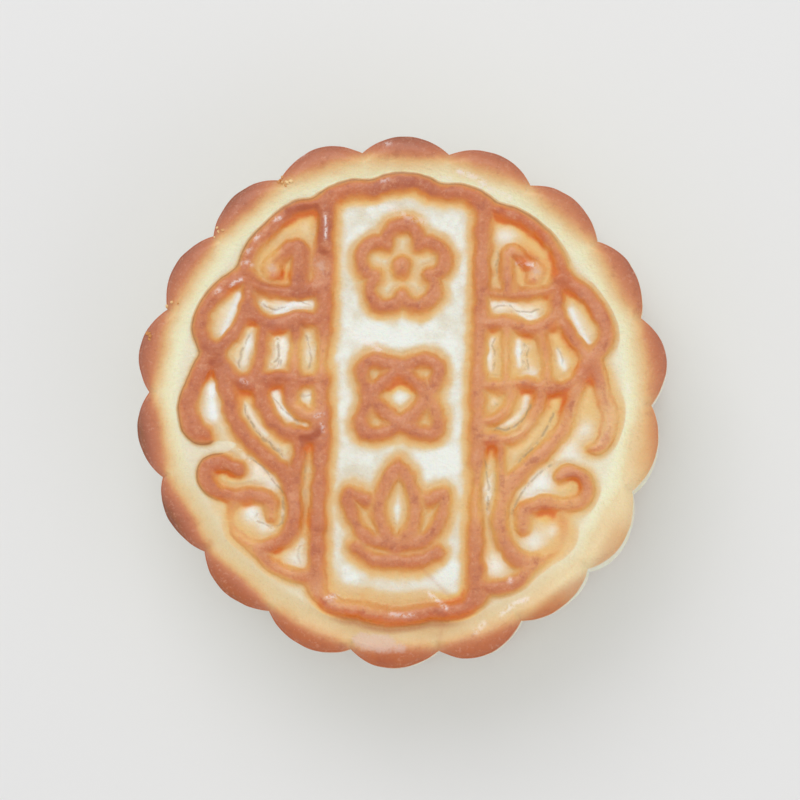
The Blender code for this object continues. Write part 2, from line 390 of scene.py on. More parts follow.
# The pool marks: orange glaze that ran into corners, and also painted shade in these corners with the glow of
# light through the crust.
POOL_AND_SHADE_MARKS = (  # orange glaze that ran into corners
    (23.6, 16.4, 1.1, 1.0),
    (26.6, 13.0, 1.6, 0.5),
    (22.6, 9.6, 1.4, 0.6),
    (24.0, 5.0, 1.2, 0.4),
    (17.4, 17.6, 0.9, 0.3),
    (21.9, -0.9, 1.0, 0.6),
    (-25.4, -15.9, 1.2, 0.6),
    (6.8, -27.8, 1.2, 0.5),
    (23.4, -17.0, 0.9, 0.5),
    (-14.2, 25.0, 1.0, 0.5),
    (23.6, 7.4, 1.0, 0.3),
    (20.9, 20.6, 0.9, 0.8),
    (21.9, 18.4, 1.0, 1.0),
    (17.8, 20.4, 1.2, 0.7),
    (14.2, 26.4, 1.3, 1.0),
    (17.0, 25.2, 1.2, 1.0),
    (19.0, 23.6, 1.1, 1.0),
    (21.4, 14.6, 1.0, 0.5),
    (26.8, 4.0, 1.3, 1.0),
    (28.2, 0.6, 1.2, 0.4),
    (22.6, 0.8, 1.3, 1.0),
    (25.2, -11.3, 1.1, 1.0),
    (21.0, -15.7, 1.0, 0.8),
    (12.8, 9.6, 0.9, 0.45),
    (17.8, 9.6, 1.0, 0.4),
    (18.2, 1.2, 1.2, 0.8),
    (13.2, -6.7, 1.1, 1.0),
    (17.6, -14.0, 1.0, 0.4),
    (18.0, -27.2, 1.6, 0.5),
    (12.9, -22.0, 1.3, 0.4),
    (8.3, -27.4, 1.1, 0.8),
    (-15.5, 25.7, 1.3, 1.0),
    (-13.2, 26.6, 1.0, 1.0),
    (-16.9, 17.4, 0.8, 1.0),
    (-24.6, 15.6, 1.1, 0.5),
    (-24.8, -11.0, 1.1, 1.0),
    (-21.2, -15.0, 0.8, 0.35),
    (-13.0, -6.6, 1.2, 1.0),
    (-17.6, 1.6, 1.3, 0.9),
    (-22.0, 0.6, 1.4, 0.9),
    (-17.5, 9.8, 1.2, 0.45),
    (-21.5, 10.8, 0.9, 0.8),
    (-28.0, 3.0, 1.2, 0.8),
    (-26.6, 3.8, 0.8, 0.5),
    (-27.5, -7.0, 1.4, 0.5),
    (-12.8, -17.5, 1.2, 0.6),
    (-16.8, -22.4, 1.2, 0.6),
    (0.0, 1.6, 1.6, 0.7),
)
WARM_MARKS = (  # floors that are golden more than cream
    (-15.0, 24.0, 2.2, 0.6),
    (-26.6, 11.5, 1.2, 0.6),
    (-19.4, 20.6, 2.0, 0.6),
    (-20.2, 18.0, 1.4, 0.6),
    (18.5, 20.0, 3.0, 0.8),
    (13.2, 19.0, 1.8, 0.6),
    (13.2, 6.5, 2.4, 0.75),
    (18.3, 6.5, 2.4, 0.75),
    (22.7, 8.0, 2.4, 1.0),
    (19.5, 14.2, 1.4, 0.6),
    (26.4, 14.6, 1.2, 0.7),
    (27.4, 11.6, 1.1, 0.7),
    (20.4, 20.6, 1.2, 0.6),
    (17.2, 17.8, 1.1, 0.9),
    (-25.8, -15.9, 1.3, 0.7),
    (6.6, -27.6, 1.3, 0.6),
    (14.2, 25.2, 1.0, 0.6),
    (-23.9, 6.6, 1.1, 0.7),
    (26.8, -1.4, 1.2, 0.6),
    (-19.4, 13.0, 1.0, 0.7),
    (27.6, 1.0, 1.8, 0.9),
    (14.0, 0.0, 2.0, 0.8),
    (18.0, -2.5, 2.5, 0.6),
    (21.8, -1.5, 2.0, 0.9),
    (17.0, -7.0, 4.0, 0.35),
    (24.5, -12.2, 1.4, 0.9),
    (-17.0, -6.0, 6.0, 0.3),
    (-20.0, -20.5, 3.0, 0.7),
    (22.2, -17.6, 1.2, 0.8),
    (20.6, -21.4, 1.2, 0.5),
    (-3.0, -28.2, 1.3, 0.7),
    (1.5, -28.4, 1.3, 0.7),
    (5.5, -27.8, 1.0, 0.5),
    (-9.4, -27.0, 0.8, 0.5),
    (-15.0, -24.0, 2.0, 0.3),
)
DARK_MARKS = (  # small burnt or shaded spots
    (-26.75, 4.7, 0.45, 0.9),
    (-26.2, 5.6, 0.35, 0.4),
    (-14.05, 10.4, 0.4, 0.6),
    (-13.3, 15.2, 0.5, 0.7),
    (-11.8, 15.1, 0.5, 0.6),
    (-11.3, 20.75, 0.5, 0.6),
    (-22.8, 1.9, 0.8, 0.7),
    (-17.4, 2.6, 0.8, 0.6),
    (-25.4, 4.0, 0.6, 0.4),
    (-11.6, -4.3, 0.7, 0.5),
    (-11.9, -5.4, 0.6, 0.6),
    (-13.3, -5.9, 0.7, 0.6),
    (-12.0, -16.5, 0.4, 0.4),
    (-20.2, 15.2, 1.0, 0.4),
    (-14.6, 26.8, 1.0, 0.45),
    (-16.7, 26.0, 0.6, 0.5),
    (-10.5, -18.7, 0.7, 0.4),
    (-15.4, -9.8, 0.7, 0.4),
    (21.9, 2.0, 0.6, 0.4),
    (26.9, 5.2, 0.8, 0.4),
    (22.6, 17.2, 0.8, 0.5),
    (11.3, -6.0, 0.6, 0.35),
    (10.9, -11.2, 0.4, 0.4),
    (-24.3, -10.6, 0.8, 0.5),
    (-26.5, -21.9, 0.5, 0.4),
    (-0.2, -36.6, 1.1, 0.5),
    (-2.2, -36.5, 0.9, 0.5),
)
SMEAR_MARKS = (  # milky film on the crust
    (-4.9, -34.0, 1.0, 0.55),
    (-3.0, -34.5, 1.1, 0.6),
    (-1.0, -34.4, 1.1, 0.55),
    (1.2, -34.9, 0.8, 0.4),
    (-11.7, 18.5, 1.9, 0.46),
    (-9.0, -28.2, 0.9, 0.4),
    (18.9, 18.6, 0.9, 0.4),
    (-18.6, 18.5, 0.9, 0.4),
)

# Streaks: strength, half width and points. Dark ones are folds, bright ones painted highlights, glints of
# light on wet glaze.
DARK_STREAKS = (
    (0.55, 0.32, ((-12.2, 27.2), (-12.1, 25.0), (-12.0, 23.0), (-11.9, 21.4))),
    (0.5, 0.25, ((-12.2, 20.8), (-10.5, 20.8))),
    (0.5, 0.3, ((-15.2, 21.8), (-16.6, 20.6), (-18.4, 19.4))),
    (0.35, 0.3, ((-14.0, 21.2), (-13.8, 19.0), (-13.4, 16.4))),
    (0.45, 0.25, ((15.6, 20.7), (17.2, 20.6), (19.0, 20.4))),
    (0.6, 0.3, ((-16.6, 26.6), (-15.0, 27.0), (-12.6, 27.3))),
    (0.5, 0.3, ((-13.9, -5.6), (-12.4, -5.5), (-11.0, -4.6))),
    (0.45, 0.28, ((-13.9, -5.8), (-13.8, -7.4))),
    (0.5, 0.32, ((-22.0, 17.4), (-20.2, 16.2), (-18.0, 15.8), (-16.3, 15.8))),
    (0.35, 0.28, ((11.6, 17.0), (12.5, 16.1), (13.8, 15.9))),
    (0.35, 0.3, ((16.6, 16.1), (19.0, 15.9), (21.6, 17.0))),
    (0.35, 0.25, ((21.5, 3.0), (22.3, 2.4), (23.8, 2.9))),
    (0.3, 0.25, ((-13.2, -13.2), (-13.1, -16.0), (-13.4, -18.6))),
    (0.3, 0.22, ((12.9, -14.0), (13.1, -18.0), (13.9, -20.4))),
    (0.3, 0.25, ((11.9, -12.0), (12.1, -17.0), (12.1, -24.0))),
    (0.25, 0.2, ((3.0, -23.0), (5.2, -25.2), (7.6, -27.4))),
    (0.25, 0.25, ((-11.6, 35.0), (-11.9, 33.6), (-11.6, 32.6))),
    (0.25, 0.22, ((6.6, -32.2), (6.2, -34.2), (5.9, -35.4))),
)
GLINT_STREAKS = (
    (0.8, 0.13, ((-11.2, 26.2), (-11.05, 24.6), (-11.1, 22.8))),
    (0.7, 0.18, ((-18.4, 25.3), (-17.6, 25.6))),
    (0.7, 0.18, ((-21.1, 22.5), (-20.6, 23.1))),
    (0.5, 0.22, ((-22.2, 20.6), (-21.9, 21.2))),
    (0.5, 0.2, ((-22.9, 19.0), (-22.2, 19.2), (-21.6, 18.8))),
    (0.7, 0.17, ((-24.4, 15.8), (-23.8, 16.4), (-22.9, 16.7))),
    (0.6, 0.22, ((-26.4, 14.9), (-26.1, 15.2))),
    (0.7, 0.2, ((16.2, 19.7), (17.4, 19.5), (18.8, 19.5))),
    (0.7, 0.22, ((7.6, 32.6), (9.6, 31.9), (11.4, 31.0))),
    (0.6, 0.22, ((10.8, 30.6), (12.8, 29.9), (15.0, 29.0))),
    (0.5, 0.2, ((5.2, 31.9), (6.4, 31.6))),
    (0.6, 0.25, ((18.6, -27.6), (16.8, -28.4), (15.0, -29.8))),
    (0.5, 0.25, ((12.6, -31.2), (11.4, -32.4))),
    (0.6, 0.18, ((32.2, 2.8), (32.2, 1.8))),
    (0.7, 0.2, ((4.6, -27.2), (6.2, -28.4), (7.2, -29.2))),
    (0.5, 0.2, ((-0.6, -30.2), (1.4, -30.4), (2.6, -30.2))),
    (0.6, 0.2, ((-9.8, -28.1), (-8.2, -28.0))),
    (0.8, 0.22, ((16.0, -25.0), (16.2, -25.1))),
    (0.4, 0.2, ((-3.2, 31.0), (-2.4, 31.3))),
    (0.5, 0.2, ((-15.4, 34.4), (-14.6, 34.8))),
    (0.5, 0.2, ((-2.9, 36.3), (-2.2, 36.5))),
    (0.5, 0.2, ((-11.9, -2.6), (-10.9, -2.2))),
    (0.5, 0.18, ((-11.0, -3.6), (-10.7, -4.6))),
    (0.4, 0.2, ((-22.6, 2.4), (-21.8, 2.0))),
    (0.5, 0.35, ((-7.2, 9.4), (-5.0, 8.2), (-3.0, 7.2))),
    (0.4, 0.3, ((-2.0, 27.6), (0.5, 26.0), (3.0, 25.4))),
)

CORE_STREAKS = (  # long near-white patches on the floors
    (0.95, 0.33, ((-23.3, 14.6), (-24.1, 12.4), (-24.9, 10.6), (-25.5, 9.0))),
    (0.95, 0.3, ((23.9, 13.2), (24.7, 11.6), (25.7, 9.8), (26.6, 8.2))),
    (0.8, 0.38, ((-26.8, 1.4), (-26.9, -0.4), (-26.5, -2.8))),
    (0.7, 0.35, ((12.6, 14.0), (14.4, 14.3), (15.8, 13.7), (17.6, 12.2), (18.8, 12.4))),
    (0.7, 0.35, ((-18.0, 12.2), (-16.8, 12.6), (-15.2, 13.6), (-12.8, 13.4))),
    (0.8, 0.25, ((16.6, 8.6), (16.6, 6.8), (16.8, 5.2))),
    (0.7, 0.25, ((12.9, 8.8), (12.5, 7.0), (12.7, 4.6))),
    (0.6, 0.3, ((17.6, 4.0), (18.6, 3.9), (19.4, 4.3))),
    (0.6, 0.25, ((22.2, 7.4), (22.6, 6.0), (23.2, 4.9))),
    (0.7, 0.3, ((-16.9, 8.2), (-16.6, 6.6), (-17.0, 5.2), (-17.6, 4.2))),
    (0.6, 0.3, ((-21.6, 8.8), (-21.9, 7.0), (-22.2, 5.0))),
    (0.7, 0.35, ((-17.9, 0.8), (-17.0, -1.4), (-15.4, -3.0), (-13.6, -3.7))),
    (0.7, 0.35, ((17.9, 0.6), (17.4, -1.4), (16.0, -2.6), (14.2, -3.2))),
    (0.6, 0.3, ((-21.8, -1.4), (-20.6, -3.6), (-19.0, -5.4))),
)

# Wrinkles and cracks: depth, how pale it is beside them, and points.
CRACKS = (
    (0.9, 0.6, ((-20.3, 13.3), (-19.0, 12.9), (-18.2, 12.5), (-17.0, 12.8), (-16.0, 13.2))),
    (0.7, 0.6, ((-15.6, 13.3), (-14.8, 13.8), (-14.0, 13.5), (-12.9, 13.2))),
    (0.7, 0.3, ((-13.9, 9.2), (-13.3, 8.0), (-13.0, 6.5), (-12.9, 5.0), (-13.4, 3.8))),
    (1.0, 0.7, ((-17.9, 8.8), (-17.4, 7.0), (-17.5, 5.6), (-18.4, 4.6))),
    (0.9, 0.6, ((-17.5, 5.6), (-16.7, 4.5))),
    (0.8, 0.3, ((-21.5, 9.3), (-22.5, 7.0), (-22.9, 5.0), (-22.8, 3.6))),
    (1.0, 0.4, ((-22.3, -1.0), (-21.0, -4.0), (-19.0, -6.2), (-17.2, -7.5), (-16.2, -8.9))),
    (0.8, 0.6, ((-18.3, 0.2), (-16.5, -1.8), (-15.0, -3.0), (-13.4, -3.9))),
    (0.6, 0.5, ((-14.4, 0.8), (-13.4, 0.3), (-12.4, 0.6))),
    (0.9, 0.7, ((-21.8, -8.3), (-19.5, -10.0), (-17.8, -11.8), (-16.4, -14.0), (-16.1, -16.5))),
    (0.8, 0.7, ((-16.1, -16.5), (-16.5, -18.2), (-18.2, -18.6), (-19.6, -17.8), (-20.2, -16.6))),
    (0.5, 0.3, ((-13.4, -7.2), (-13.2, -9.5), (-13.3, -12.0))),
    (0.5, 0.4, ((-13.3, -20.5), (-14.0, -22.3), (-13.4, -24.0))),
    (0.9, 0.3, ((12.7, 13.2), (14.0, 13.6), (15.5, 13.6), (16.6, 13.0), (17.8, 12.7), (19.6, 13.3))),
    (0.8, 0.2, ((13.4, 9.5), (13.0, 8.0), (13.2, 6.0), (13.0, 4.1))),
    (0.8, 0.3, ((17.3, 8.6), (17.1, 6.6), (17.2, 5.0))),
    (0.8, 0.2, ((18.1, 8.0), (17.8, 6.2), (18.2, 4.4))),
    (0.6, 0.1, ((22.0, 8.4), (22.3, 6.9), (22.9, 5.2))),
    (0.7, 0.3, ((13.5, 21.6), (13.4, 19.4), (13.1, 17.5))),
    (1.0, 0.5, ((18.6, 0.2), (17.8, -2.0), (16.5, -3.3), (15.0, -4.0), (13.1, -3.9))),
    (1.0, 0.0, ((22.0, -1.0), (20.8, -4.0), (19.0, -6.5), (17.5, -7.8), (16.7, -8.8))),
    (0.9, 0.7, ((22.0, -8.6), (20.0, -10.0), (18.0, -12.2), (16.7, -14.3), (16.2, -16.2))),
    (0.8, 0.7, ((12.2, -7.8), (12.6, -10.5), (12.9, -13.0), (12.7, -16.0))),
    (0.5, 0.4, ((13.0, 0.2), (14.2, -0.6))),
)

# Crumbs on the rim: direction in degrees, radius, spread and number.
CRUMB_SPOTS = (
    (118.5, 34.9, 0.45, 7),
    (120.5, 35.8, 0.25, 4),
    (137.5, 35.2, 0.5, 5),
    (158.0, 35.2, 0.4, 3),
    (166.5, 37.0, 0.3, 4),
    (159.0, 36.2, 0.3, 3),
)


def lobed_radius(angle, lobes, tip, crease):
    """The radius of an outline of equal lobes, each one a round arc from crease to crease."""
    half = math.pi / lobes
    off = (angle - math.pi / 2 + half) % (2 * half) - half
    chord = crease * math.sin(half)
    sagitta = tip - crease * math.cos(half)
    arc = (chord**2 + sagitta**2) / (2 * sagitta)
    middle = tip - arc
    return middle * np.cos(off) + np.sqrt(arc**2 - (middle * np.sin(off)) ** 2)


def smooth_line(points, pieces=LINE_PIECES):
    """Points along a smooth line through the given ones."""
    knots = np.array(points, float)
    knots = np.vstack([2 * knots[0] - knots[1], knots, 2 * knots[-1] - knots[-2]])
    line = []
    for before, start, end, after in zip(knots, knots[1:], knots[2:], knots[3:]):
        for piece in range(pieces):
            t = piece / pieces
            line.append(
                start
                + (end - before) * (t / 2)
                + (2 * before - 5 * start + 4 * end - after) * (t**2 / 2)
                + (3 * start - before - 3 * end + after) * (t**3 / 2)
            )
    return np.array([*line, knots[-2]])


def mirrored(points):
    return [(-x, y) for x, y in points]


def whole(right_half):
    return mirrored(right_half[:0:-1]) + list(right_half)


def moved(points, centre):
    return [(x + centre[0], y + centre[1]) for x, y in points]


def ripple(x, y, size, seed, waves=14):
    """Smooth random waves of about this size, mostly between -1 and 1."""
    draw = np.random.default_rng(seed)
    total = np.zeros_like(x)
    for _ in range(waves):
        heading, phase = draw.uniform(0, 2 * math.pi, 2)
        length = size * draw.uniform(0.7, 1.5)
        along = x * math.cos(heading) + y * math.sin(heading)
        total += np.cos(along * (2 * math.pi / length) + phase)
    return total / math.sqrt(waves)


def soft_marks(x, y, marks):
    total = np.zeros_like(x)
    for centre_x, centre_y, reach, strength in marks:
        away = (x - centre_x) ** 2 + (y - centre_y) ** 2
        total += strength * np.exp(-away / (2 * reach**2))
    return total


def step(value, start, end):
    """0 up to start and 1 past end, with a smooth rise between. start may be the larger one."""
    t = np.clip((value - start) / (end - start), 0, 1)
    return t * t * (3 - 2 * t)


def ornament_lines():
    """Every raised line as (width, points)."""
    lines = []
    for width, points in SIDE_LINES.values():
        lines += [(width, smooth_line(points)), (width, smooth_line(mirrored(points)))]
    for points in PANEL_ENDS.values():
        lines.append((PANEL_WIDTH, smooth_line(whole(points))))
    angles = np.linspace(0, 2 * math.pi, ROUND_STEPS + 1)
    around = np.stack([np.cos(angles), np.sin(angles)], 1)
    petals = lobed_radius(angles, BLOSSOM_PETALS, PETAL_TIP, PETAL_CREASE)[:, None] * around
    lines.append((MOTIF_WIDTH, petals + BLOSSOM_CENTRE))
    lines.append((EYE_WIDTH, 0.1 * around + BLOSSOM_CENTRE))
    ring = around * (RING_LENGTH, RING_BREADTH)
    for tilt in (RING_TILT, -RING_TILT):
        turn = np.array(Matrix.Rotation(tilt, 2))
        lines.append((MOTIF_WIDTH, ring @ turn.T + KNOT_CENTRE))
    for points in (
        whole(LOTUS_HEART),
        LOTUS_PETAL,
        mirrored(LOTUS_PETAL),
        whole(LOTUS_BASE),
    ):
        lines.append((MOTIF_WIDTH, smooth_line(moved(points, LOTUS_CENTRE))))
    return lines


def line_distance(line, x, y):
    """Distance of each point from a line of points."""
    nearest = np.full(x.shape, np.inf)
    for (ax, ay), (bx, by) in zip(line, line[1:]):
        dx, dy = bx - ax, by - ay
        t = np.clip(((x - ax) * dx + (y - ay) * dy) / max(dx * dx + dy * dy, 1e-9), 0, 1)
        nearest = np.minimum(nearest, np.hypot(x - ax - t * dx, y - ay - t * dy))
    return nearest


def unshifted(x, y):
    """Where each point would be if the lines had kept their places."""
    back_x, back_y = x.copy(), y.copy()
    for centre_x, centre_y, reach, along_x, along_y in LINE_SHIFTS:
        share = np.exp(-((x - centre_x) ** 2 + (y - centre_y) ** 2) / (2 * reach**2))
        back_x -= along_x * share
        back_y -= along_y * share
    return back_x, back_y


def edge_distance(x, y):
    """How far each point lies outside the raised lines' edges, less than 0 inside them."""
    pull = np.full(x.shape, math.exp(-FAR / BLEND))
    for width, line in ornament_lines():
        low, high = line.min(0) - FAR, line.max(0) + FAR
        near = (x > low[0]) & (x < high[0]) & (y > low[1]) & (y < high[1])
        outside = line_distance(line, x[near], y[near]) - width / 2
        pull[near] += np.exp(-outside / BLEND)
    return -BLEND * np.log(pull)


def outer_edge(angle, spread):
    """The radius where the ornament ends, in each direction, eased over a spread in degrees."""
    turns = np.linspace(-math.pi, math.pi, 721)
    reach = np.arange(20.0, 33.0, 0.1)
    turn, along = np.meshgrid(turns, reach)
    inside = edge_distance(*unshifted(along * np.cos(turn), along * np.sin(turn))) < 0
    last = reach[len(reach) - 1 - np.argmax(inside[::-1], axis=0)]
    half = int(4 * spread)
    share = np.exp(-((np.arange(-half, half + 1) / 2 / spread) ** 2) / 2)
    eased = np.convolve(np.pad(last, half, "wrap"), share / share.sum(), "valid")
    return np.interp(angle, turns, eased)


def streak_marks(x, y, streaks):
    total = np.zeros_like(x)
    for strength, spread, points in streaks:
        line = smooth_line(points, 3)
        low, high = line.min(0) - 4 * spread, line.max(0) + 4 * spread
        near = (x > low[0]) & (x < high[0]) & (y > low[1]) & (y < high[1])
        away = line_distance(line, x[near], y[near])
        total[near] += strength * np.exp(-(away**2) / (2 * spread**2))
    return total


def crack_lines(x, y):
    """Each point's offset to one side of the nearest crack, that crack's strength there, and
    how much of its pale surroundings reaches there."""
    nearest, offset = np.full(x.shape, 3.0), np.full(x.shape, 3.0)
    strength, around = np.zeros_like(x), np.zeros_like(x)
    for depth, lips, points in CRACKS:
        line = smooth_line(points, 4)
        steps = np.hypot(*np.diff(line, axis=0).T)
        run = np.concatenate([[0], np.cumsum(steps)])
        for (ax, ay), (bx, by), start, length in zip(line, line[1:], run, steps):
            dx, dy = bx - ax, by - ay
            t = np.clip(((x - ax) * dx + (y - ay) * dy) / length**2, 0, 1)
            away = np.hypot(x - ax - t * dx, y - ay - t * dy)
            along = start + t * length
            fade = step(np.minimum(along, run[-1] - along), 0, 0.7)
            nearer = away < nearest
            side = np.where(dx * (y - ay) - dy * (x - ax) < 0, -1, 1)
            offset = np.where(nearer, side * away, offset)
            strength = np.where(nearer, depth * fade * step(away, 0.9, 0.4), strength)
            around = np.where(nearer, lips * step(away, 1.6, 0.9), around)
            nearest = np.where(nearer, away, nearest)
    return offset, strength, around


def blank_mesh():
    """The plain round form: a disc of square cells that ends in round rings, then rim, wall
    and base in rows. Each point keeps its share of the scallop."""
    n = INNER_RINGS
    i, j = np.meshgrid(np.arange(-n, n + 1), np.arange(-n, n + 1), indexing="ij")
    ring = np.maximum(abs(i), abs(j))
    wide = abs(i) >= abs(j)
    safe_i, safe_j = np.where(i == 0, 1, i), np.where(j == 0, 1, j)
    angle = np.where(
        wide,
        np.where(i < 0, math.pi, 0) + math.pi / 4 * j / safe_i,
        np.where(j < 0, 1.5, 0.5) * math.pi - math.pi / 4 * i / safe_j,
    )
    radius = ring * (INNER_RADIUS / n)
    disc = np.stack(
        [radius * np.cos(angle), radius * np.sin(angle), np.full(radius.shape, FLOOR - 0.05)], -1
    )
    index = np.arange((2 * n + 1) ** 2).reshape(2 * n + 1, 2 * n + 1)
    faces = [
        np.stack([index[:-1, :-1], index[1:, :-1], index[1:, 1:], index[:-1, 1:]], -1).reshape(-1, 4)
    ]
    edge = index[ring == n]
    edge = edge[np.argsort(np.round(angle[ring == n] % (2 * math.pi), 9))]
    points, share = [disc.reshape(-1, 3)], [np.zeros(index.size)]
    profile = np.array([point[:3] for point in PROFILE])
    rows = []
    for start, (_, _, _, count) in enumerate(PROFILE[:-1]):
        ahead = np.clip(np.arange(start - 1, start + 3), 0, len(PROFILE) - 1)
        span = smooth_line(profile[ahead], count)[count : 2 * count]
        rows += list(span)
    rows = np.array(rows[1:] + [profile[-1]])
    rows[:, 1] = np.maximum(rows[:, 1], 0)
    turn = np.arange(COLUMNS) * (2 * math.pi / COLUMNS)
    before = edge
    for row_radius, row_height, row_share in rows:
        here = sum(len(p) for p in points) + np.arange(COLUMNS)
        height = np.full(COLUMNS, row_height)
        points.append(np.stack([row_radius * np.cos(turn), row_radius * np.sin(turn), height], -1))
        share.append(np.full(COLUMNS, row_share))
        faces.append(np.stack([before, here, np.roll(here, -1), np.roll(before, -1)], -1))
        before = here
    points, share = np.vstack(points), np.concatenate(share)
    middle = len(points)
    points, share = np.vstack([points, [[0, 0, 0]]]), np.append(share, 0)
    quads = np.vstack(faces)
    mesh = bpy.data.meshes.new("blank")
    closing = [(int(a), int(b), middle) for b, a in zip(before, np.roll(before, -1))]
    mesh.from_pydata((points * MM).tolist(), [], quads.tolist() + closing)
    shared = mesh.attributes.new("scallop_share", "FLOAT", "POINT")
    shared.data.foreach_set("value", share.astype(np.float32))
    return mesh


class Wire:
    """A node's output. Sums written with it add their Math nodes."""

    def __init__(self, bench, socket):
        self.bench = bench
        self.socket = socket

    def __add__(self, other):
        return self.bench.math("ADD", self, other)

    def __sub__(self, other):
        return self.bench.math("SUBTRACT", self, other)

    def __rsub__(self, other):
        return self.bench.math("SUBTRACT", other, self)

    def __mul__(self, other):
        return self.bench.math("MULTIPLY", self, other)

    def __truediv__(self, other):
        return self.bench.math("DIVIDE", self, other)

    def __rtruediv__(self, other):
        return self.bench.math("DIVIDE", other, self)

    def __pow__(self, other):
        return self.bench.math("POWER", self, other)

    __radd__ = __add__
    __rmul__ = __mul__


class Bench:
    """A node tree that is being built."""

    def __init__(self, tree):
        self.tree = tree

    def node(self, kind, settings=None, values=None, out=0):
        """Adds a node, its settings first, and gives its output, or the node if out is None."""
        made = self.tree.nodes.new(kind)
        for name, setting in (settings or {}).items():
            if name == "stops":
                self.set_stops(made.color_ramp, setting)
            else:
                setattr(made, name, setting)
        for name, value in (values or {}).items():
            if isinstance(value, Wire):
                self.tree.links.new(value.socket, made.inputs[name])
            else:
                made.inputs[name].default_value = value
        return made if out is None else Wire(self, made.outputs[out])

    def set_stops(self, ramp, stops):
        while len(ramp.elements) < len(stops):
            ramp.elements.new(1.0)
        for element, (place, colour) in zip(ramp.elements, stops):
            element.position = place
            element.color = colour

    def math(self, operation, *values):
        return self.node("ShaderNodeMath", {"operation": operation}, dict(enumerate(values)))

    def smooth(self, value, start, end):
        """0 up to start and 1 past end, with a smooth rise between."""
        return self.node(
            "ShaderNodeMapRange",
            {"interpolation_type": "SMOOTHSTEP"},
            {"Value": value, "From Min": start, "From Max": end},
        )

    def mix(self, share, first, second):
        return self.node(
            "ShaderNodeMix", {"data_type": "RGBA"}, {0: share, 6: first, 7: second}, out=2
        )

    def noise(self, place, scale, detail=3.0, roughness=0.5):
        return self.node(
            "ShaderNodeTexNoise",
            None,
            {"Vector": place, "Scale": scale, "Detail": detail, "Roughness": roughness},
        )

    def attribute(self, name):
        return self.node("ShaderNodeAttribute", {"attribute_name": name}, out="Fac")


def scallop_tree():
    """Geometry Nodes: draws each point in by its share of the lobed outline."""
    tree = bpy.data.node_groups.new("scalloped_form", "GeometryNodeTree")
    face = tree.interface
    face.new_socket("Geometry", in_out="INPUT", socket_type="NodeSocketGeometry")
    for name, value in (
        ("Lobes", float(LOBES)),
        ("Tip Radius", LOBE_TIP * MM),
        ("Crease Radius", LOBE_CREASE * MM),
        ("Crease Dip", 0.3 * MM),
    ):
        face.new_socket(name, in_out="INPUT", socket_type="NodeSocketFloat").default_value = value
    face.new_socket("Crust", in_out="INPUT", socket_type="NodeSocketMaterial")
    face.new_socket("Geometry", in_out="OUTPUT", socket_type="NodeSocketGeometry")
    bench = Bench(tree)
    given = bench.node("NodeGroupInput", out=None)
    wire = {socket.name: Wire(bench, socket) for socket in given.outputs}
    place = bench.node("GeometryNodeInputPosition")
    split = bench.node("ShaderNodeSeparateXYZ", None, {0: place}, out=None)
    x, y, z = (Wire(bench, split.outputs[k]) for k in range(3))
    share = bench.node(
        "GeometryNodeInputNamedAttribute", {"data_type": "FLOAT"}, {"Name": "scallop_share"}
    )
    half = math.pi / wire["Lobes"]
    angle = bench.math("ARCTAN2", y, x) - math.pi / 2 + half
    off = bench.math("FLOORED_MODULO", angle, half * 2) - half
    tip, crease = wire["Tip Radius"], wire["Crease Radius"]
    chord = crease * bench.math("SINE", half)
    sagitta = tip - crease * bench.math("COSINE", half)
    arc = (chord * chord + sagitta * sagitta) / (sagitta * 2)
    middle = tip - arc
    across = middle * bench.math("SINE", off)
    lobed = middle * bench.math("COSINE", off) + bench.math("SQRT", arc * arc - across * across)
    drawn_in = tip - lobed
    radius = bench.math("SQRT", x * x + y * y)
    ratio = 1 - drawn_in * share / bench.math("MAXIMUM", radius, MM)
    creased = (drawn_in / (tip - crease)) ** 2
    top = bench.smooth(z, HEIGHT * 0.8 * MM, HEIGHT * 0.97 * MM)
    dipped = z - creased * share * top * wire["Crease Dip"]
    moved_to = bench.node("ShaderNodeCombineXYZ", None, {0: x * ratio, 1: y * ratio, 2: dipped})
    shaped = bench.node(
        "GeometryNodeSetPosition", None, {"Geometry": wire["Geometry"], "Position": moved_to}
    )
    solid = bench.node("GeometryNodeRealizeInstances", None, {0: shaped})
    dressed = bench.node(
        "GeometryNodeSetMaterial", None, {"Geometry": solid, "Material": wire["Crust"]}
    )
    bench.node("NodeGroupOutput", None, {0: dressed}, out=None)
    return tree


def run_tree(mesh, tree, inputs, name):
    """The mesh that a Geometry Nodes tree makes, as an object of its own."""
    base = bpy.data.objects.new(name, mesh)
    bpy.context.scene.collection.objects.link(base)
    modifier = base.modifiers.new(tree.name, "NODES")
    modifier.node_group = tree
    for socket in tree.interface.items_tree:
        if socket.item_type == "SOCKET" and socket.in_out == "INPUT" and socket.name in inputs:
            modifier[socket.identifier] = inputs[socket.name]
    graph = bpy.context.evaluated_depsgraph_get()
    result = bpy.data.meshes.new_from_object(base.evaluated_get(graph))
    base.modifiers.remove(modifier)
    base.data = result
    result.name = name
    return base


def colour(code):
    """A linear colour from its hex code."""
    parts = [int(code[k : k + 2], 16) / 255 for k in (0, 2, 4)]
    linear = [c / 12.92 if c <= 0.04045 else ((c + 0.055) / 1.055) ** 2.4 for c in parts]
    return (*linear, 1.0)


def ramp_of(*stops):
    """A ramp's settings from (place, hex code) stops."""
    return {"stops": [(place, colour(code)) for place, code in stops]}


